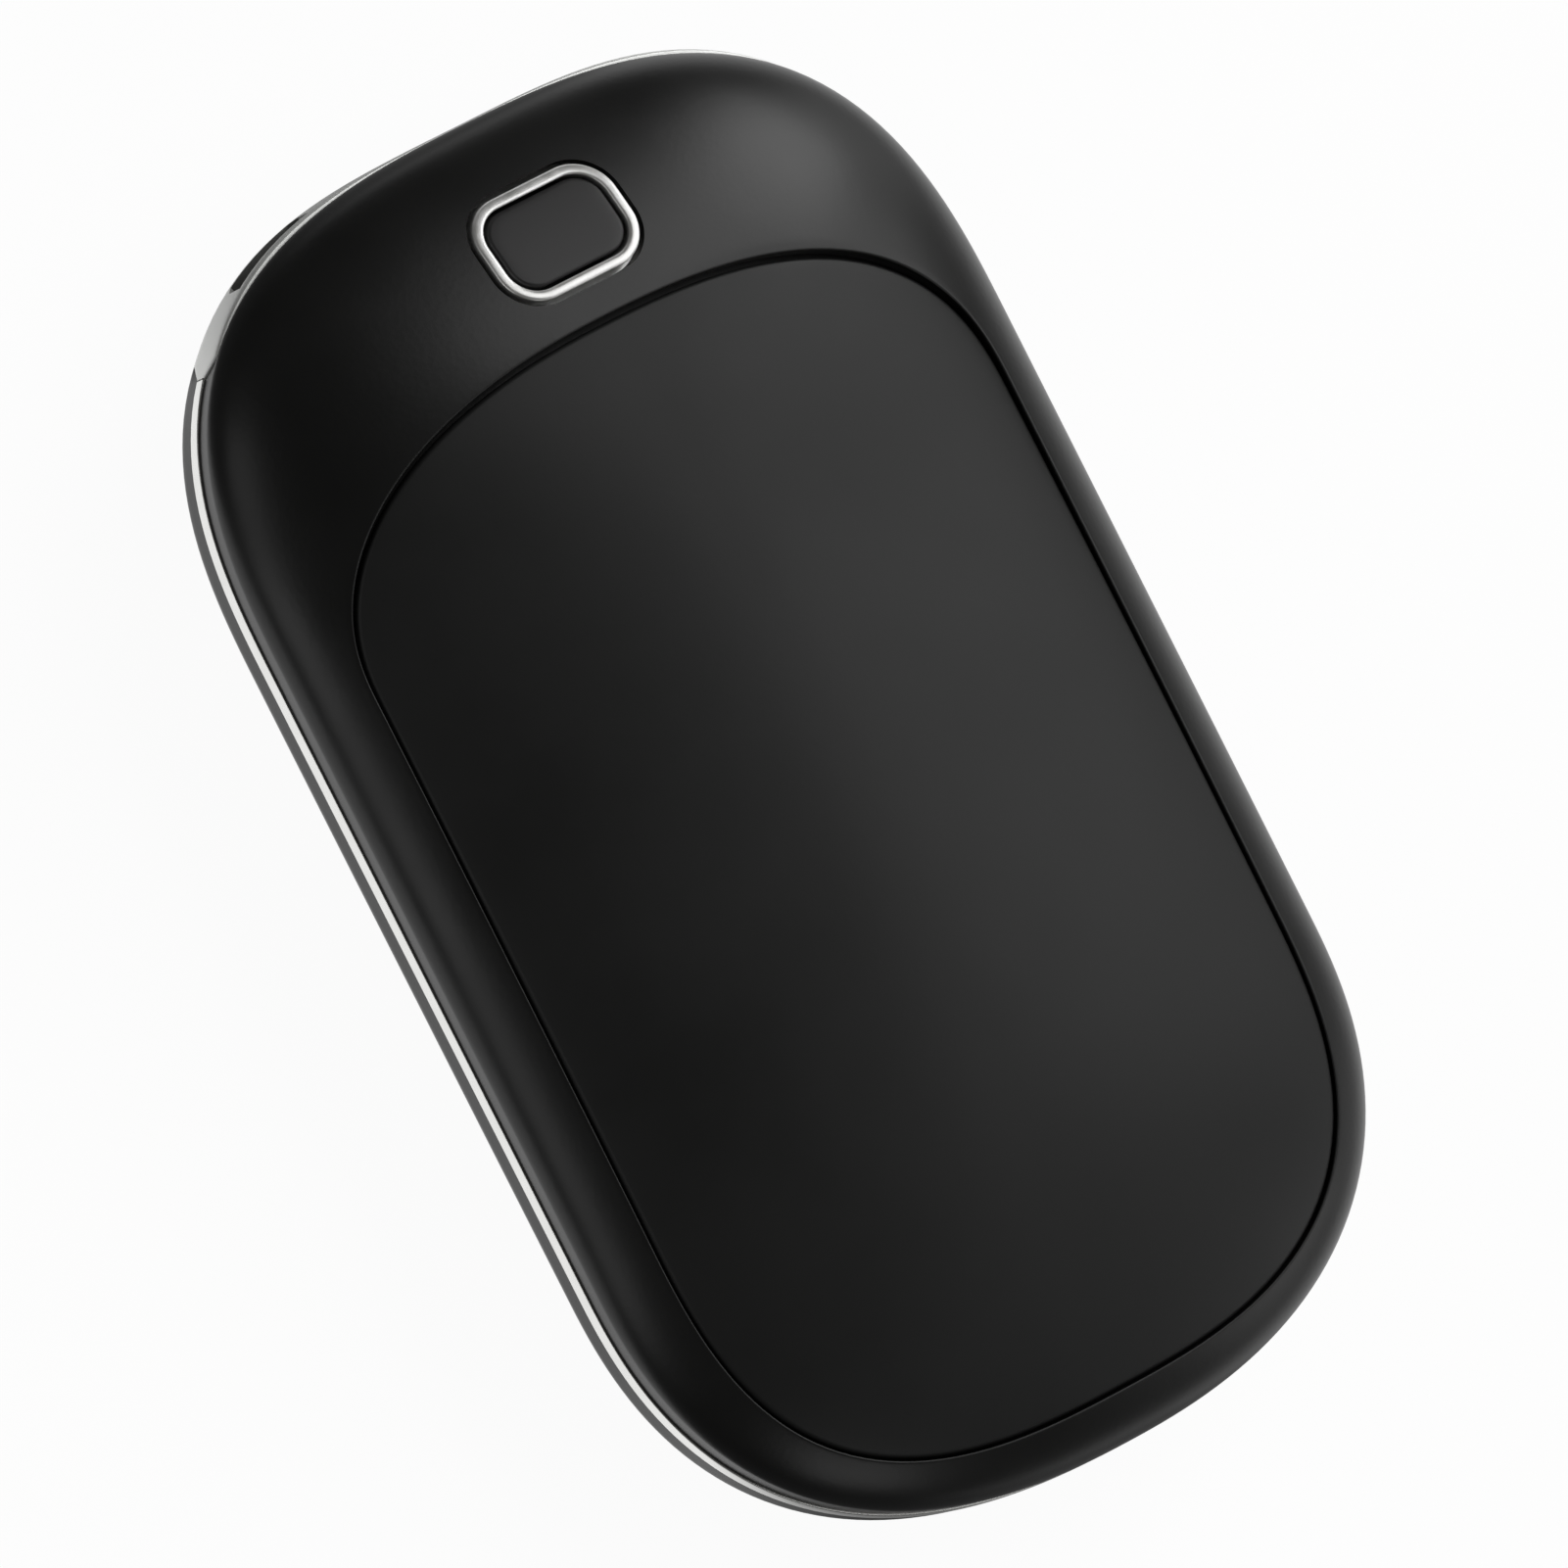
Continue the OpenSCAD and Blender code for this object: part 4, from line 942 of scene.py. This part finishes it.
FLOOR_REACH = 12
FLOOR_DROP = 0.02 * MM
FLOOR_TONE = 0.85
FLOOR_SEEN = 0.08
FLOOR_GLOW = 0.95
WHITE = (1, 1, 1, 1)

# In reflections it is bright left of the object and close by on its right, as painted lit floor,
# dark beyond the left corners and grey elsewhere, as painted shadow of the object on the floor
MIRRORED_LEFT = 0.9
MIRRORED_RIGHT = 1.0
MIRRORED_GREY = 0.32
MIRRORED_DARK = 0.1
LEFT_X = (4 * MM, -20 * MM)
LEFT_TOP = (60 * MM, 48 * MM)
LEFT_FOOT = (-55 * MM, -43 * MM)
DARK_X = (10 * MM, -20 * MM)
RIGHT_X = (18 * MM, 34 * MM)
RIGHT_FAR = (150 * MM, 80 * MM)


def painted_reflection_glow(tree):
    """Painted reflection of the floor by its place, with its dark and grey parts as painted shadow."""
    place = node(tree, "ShaderNodeTexCoord").outputs["Object"]
    split = node(tree, "ShaderNodeSeparateXYZ", {0: place})

    def rise(axis, span, low=0.0, high=1.0):
        return spread(tree, split.outputs[axis], span, (low, high), interpolation_type="SMOOTHSTEP")

    ends = maths(tree, "MULTIPLY", rise("Y", LEFT_TOP), rise("Y", LEFT_FOOT))
    left = maths(tree, "MULTIPLY", rise("X", LEFT_X), ends)
    right = maths(tree, "MULTIPLY", rise("X", RIGHT_X), rise("X", RIGHT_FAR))
    dim = rise("X", DARK_X, MIRRORED_GREY, MIRRORED_DARK)
    beyond = spread(tree, right, (0.0, 1.0), (dim, MIRRORED_RIGHT))
    return spread(tree, left, (0.0, 1.0), (beyond, MIRRORED_LEFT))


def floor_material():
    """Bright paper with a faint shadow to the camera, a painted reflection to glossy rays, else lit
    plainly.
    """
    mat, tree, out = new_material("pale_floor")
    path = node(tree, "ShaderNodeLightPath").outputs
    lit = node(tree, "ShaderNodeBsdfDiffuse", {"Color": (FLOOR_TONE, FLOOR_TONE, FLOOR_TONE, 1)})
    seen = node(tree, "ShaderNodeBsdfDiffuse", {"Color": (FLOOR_SEEN, FLOOR_SEEN, FLOOR_SEEN, 1)})
    glow = node(tree, "ShaderNodeEmission", {"Color": WHITE, "Strength": FLOOR_GLOW})
    paper = node(tree, "ShaderNodeAddShader", {0: seen.outputs[0], 1: glow.outputs[0]})
    # Glossy rays see the painted reflection, not the lit floor with the object's real shadow
    mirrored = node(tree, "ShaderNodeEmission", {"Color": WHITE, "Strength": painted_reflection_glow(tree)})
    unseen = node(tree, "ShaderNodeMixShader",
                  {0: path["Is Glossy Ray"], 1: lit.outputs[0], 2: mirrored.outputs[0]})
    whole = node(tree, "ShaderNodeMixShader",
                 {0: path["Is Camera Ray"], 1: unseen.outputs[0], 2: paper.outputs[0]})
    tree.links.new(whole.outputs[0], out.inputs["Surface"])
    return mat


def add_floor():
    corners = [(x * FLOOR_REACH, y * FLOOR_REACH, 0) for x, y in ((-1, -1), (1, -1), (1, 1), (-1, 1))]
    floor = add_mesh("studio_floor", corners, [(0, 1, 2, 3)])
    floor.location.z = -FLOOR_DROP
    give_finish(floor, floor_material())


# Softboxes a metre away: azimuth from +X towards +Y and elevation in degrees, and power

SOFTBOXES = [
    ("key_low", 30, 30, 1.6),
    ("key_high", 45, 55, 0.95),
    ("right_high", 0, 55, 0.75),
    ("right_low", 0, 30, 0.7),
    ("foot_right_high", 315, 55, 0.32),
    ("foot_right_low", 315, 20, 0.62),
    ("foot_low", 255, 30, 0.5),
    ("left_low", 180, 26, 0.5),
    ("left_back_low", 150, 30, 0.33),
    ("right_rim", 20, 6, 0.42),
    ("foot_right_rim", 335, 6, 0.25),
]
SOFTBOX_SIZE = 0.4


def add_softbox(name, azimuth, elevation, power):
    """A square lamp that faces the object."""
    data = bpy.data.lights.new(name, "AREA")
    data.shape = "SQUARE"
    data.size = SOFTBOX_SIZE
    data.energy = power
    lamp = bpy.data.objects.new(name, data)
    bpy.context.scene.collection.objects.link(lamp)
    turn, rise = math.radians(azimuth), math.radians(elevation)
    toward = Vector((math.cos(turn) * math.cos(rise), math.sin(turn) * math.cos(rise), math.sin(rise)))
    lamp.matrix_world = Matrix.Translation(toward) @ toward.to_track_quat("Z", "Y").to_matrix().to_4x4()


AIR_COLOUR = (1, 0.98, 0.94, 1)
AIR_STRENGTH = 0.055


def add_air():
    """Faint warm light from all around."""
    world = bpy.data.worlds.new("studio_air")
    world.use_nodes = True
    air = world.node_tree.nodes["Background"].inputs
    air["Color"].default_value = AIR_COLOUR
    air["Strength"].default_value = AIR_STRENGTH
    bpy.context.scene.world = world


build_outside()
finish_inside()
add_air()
for softbox in SOFTBOXES:
    add_softbox(*softbox)
add_floor()
add_camera()
bpy.context.scene.view_settings.view_transform = "Standard"
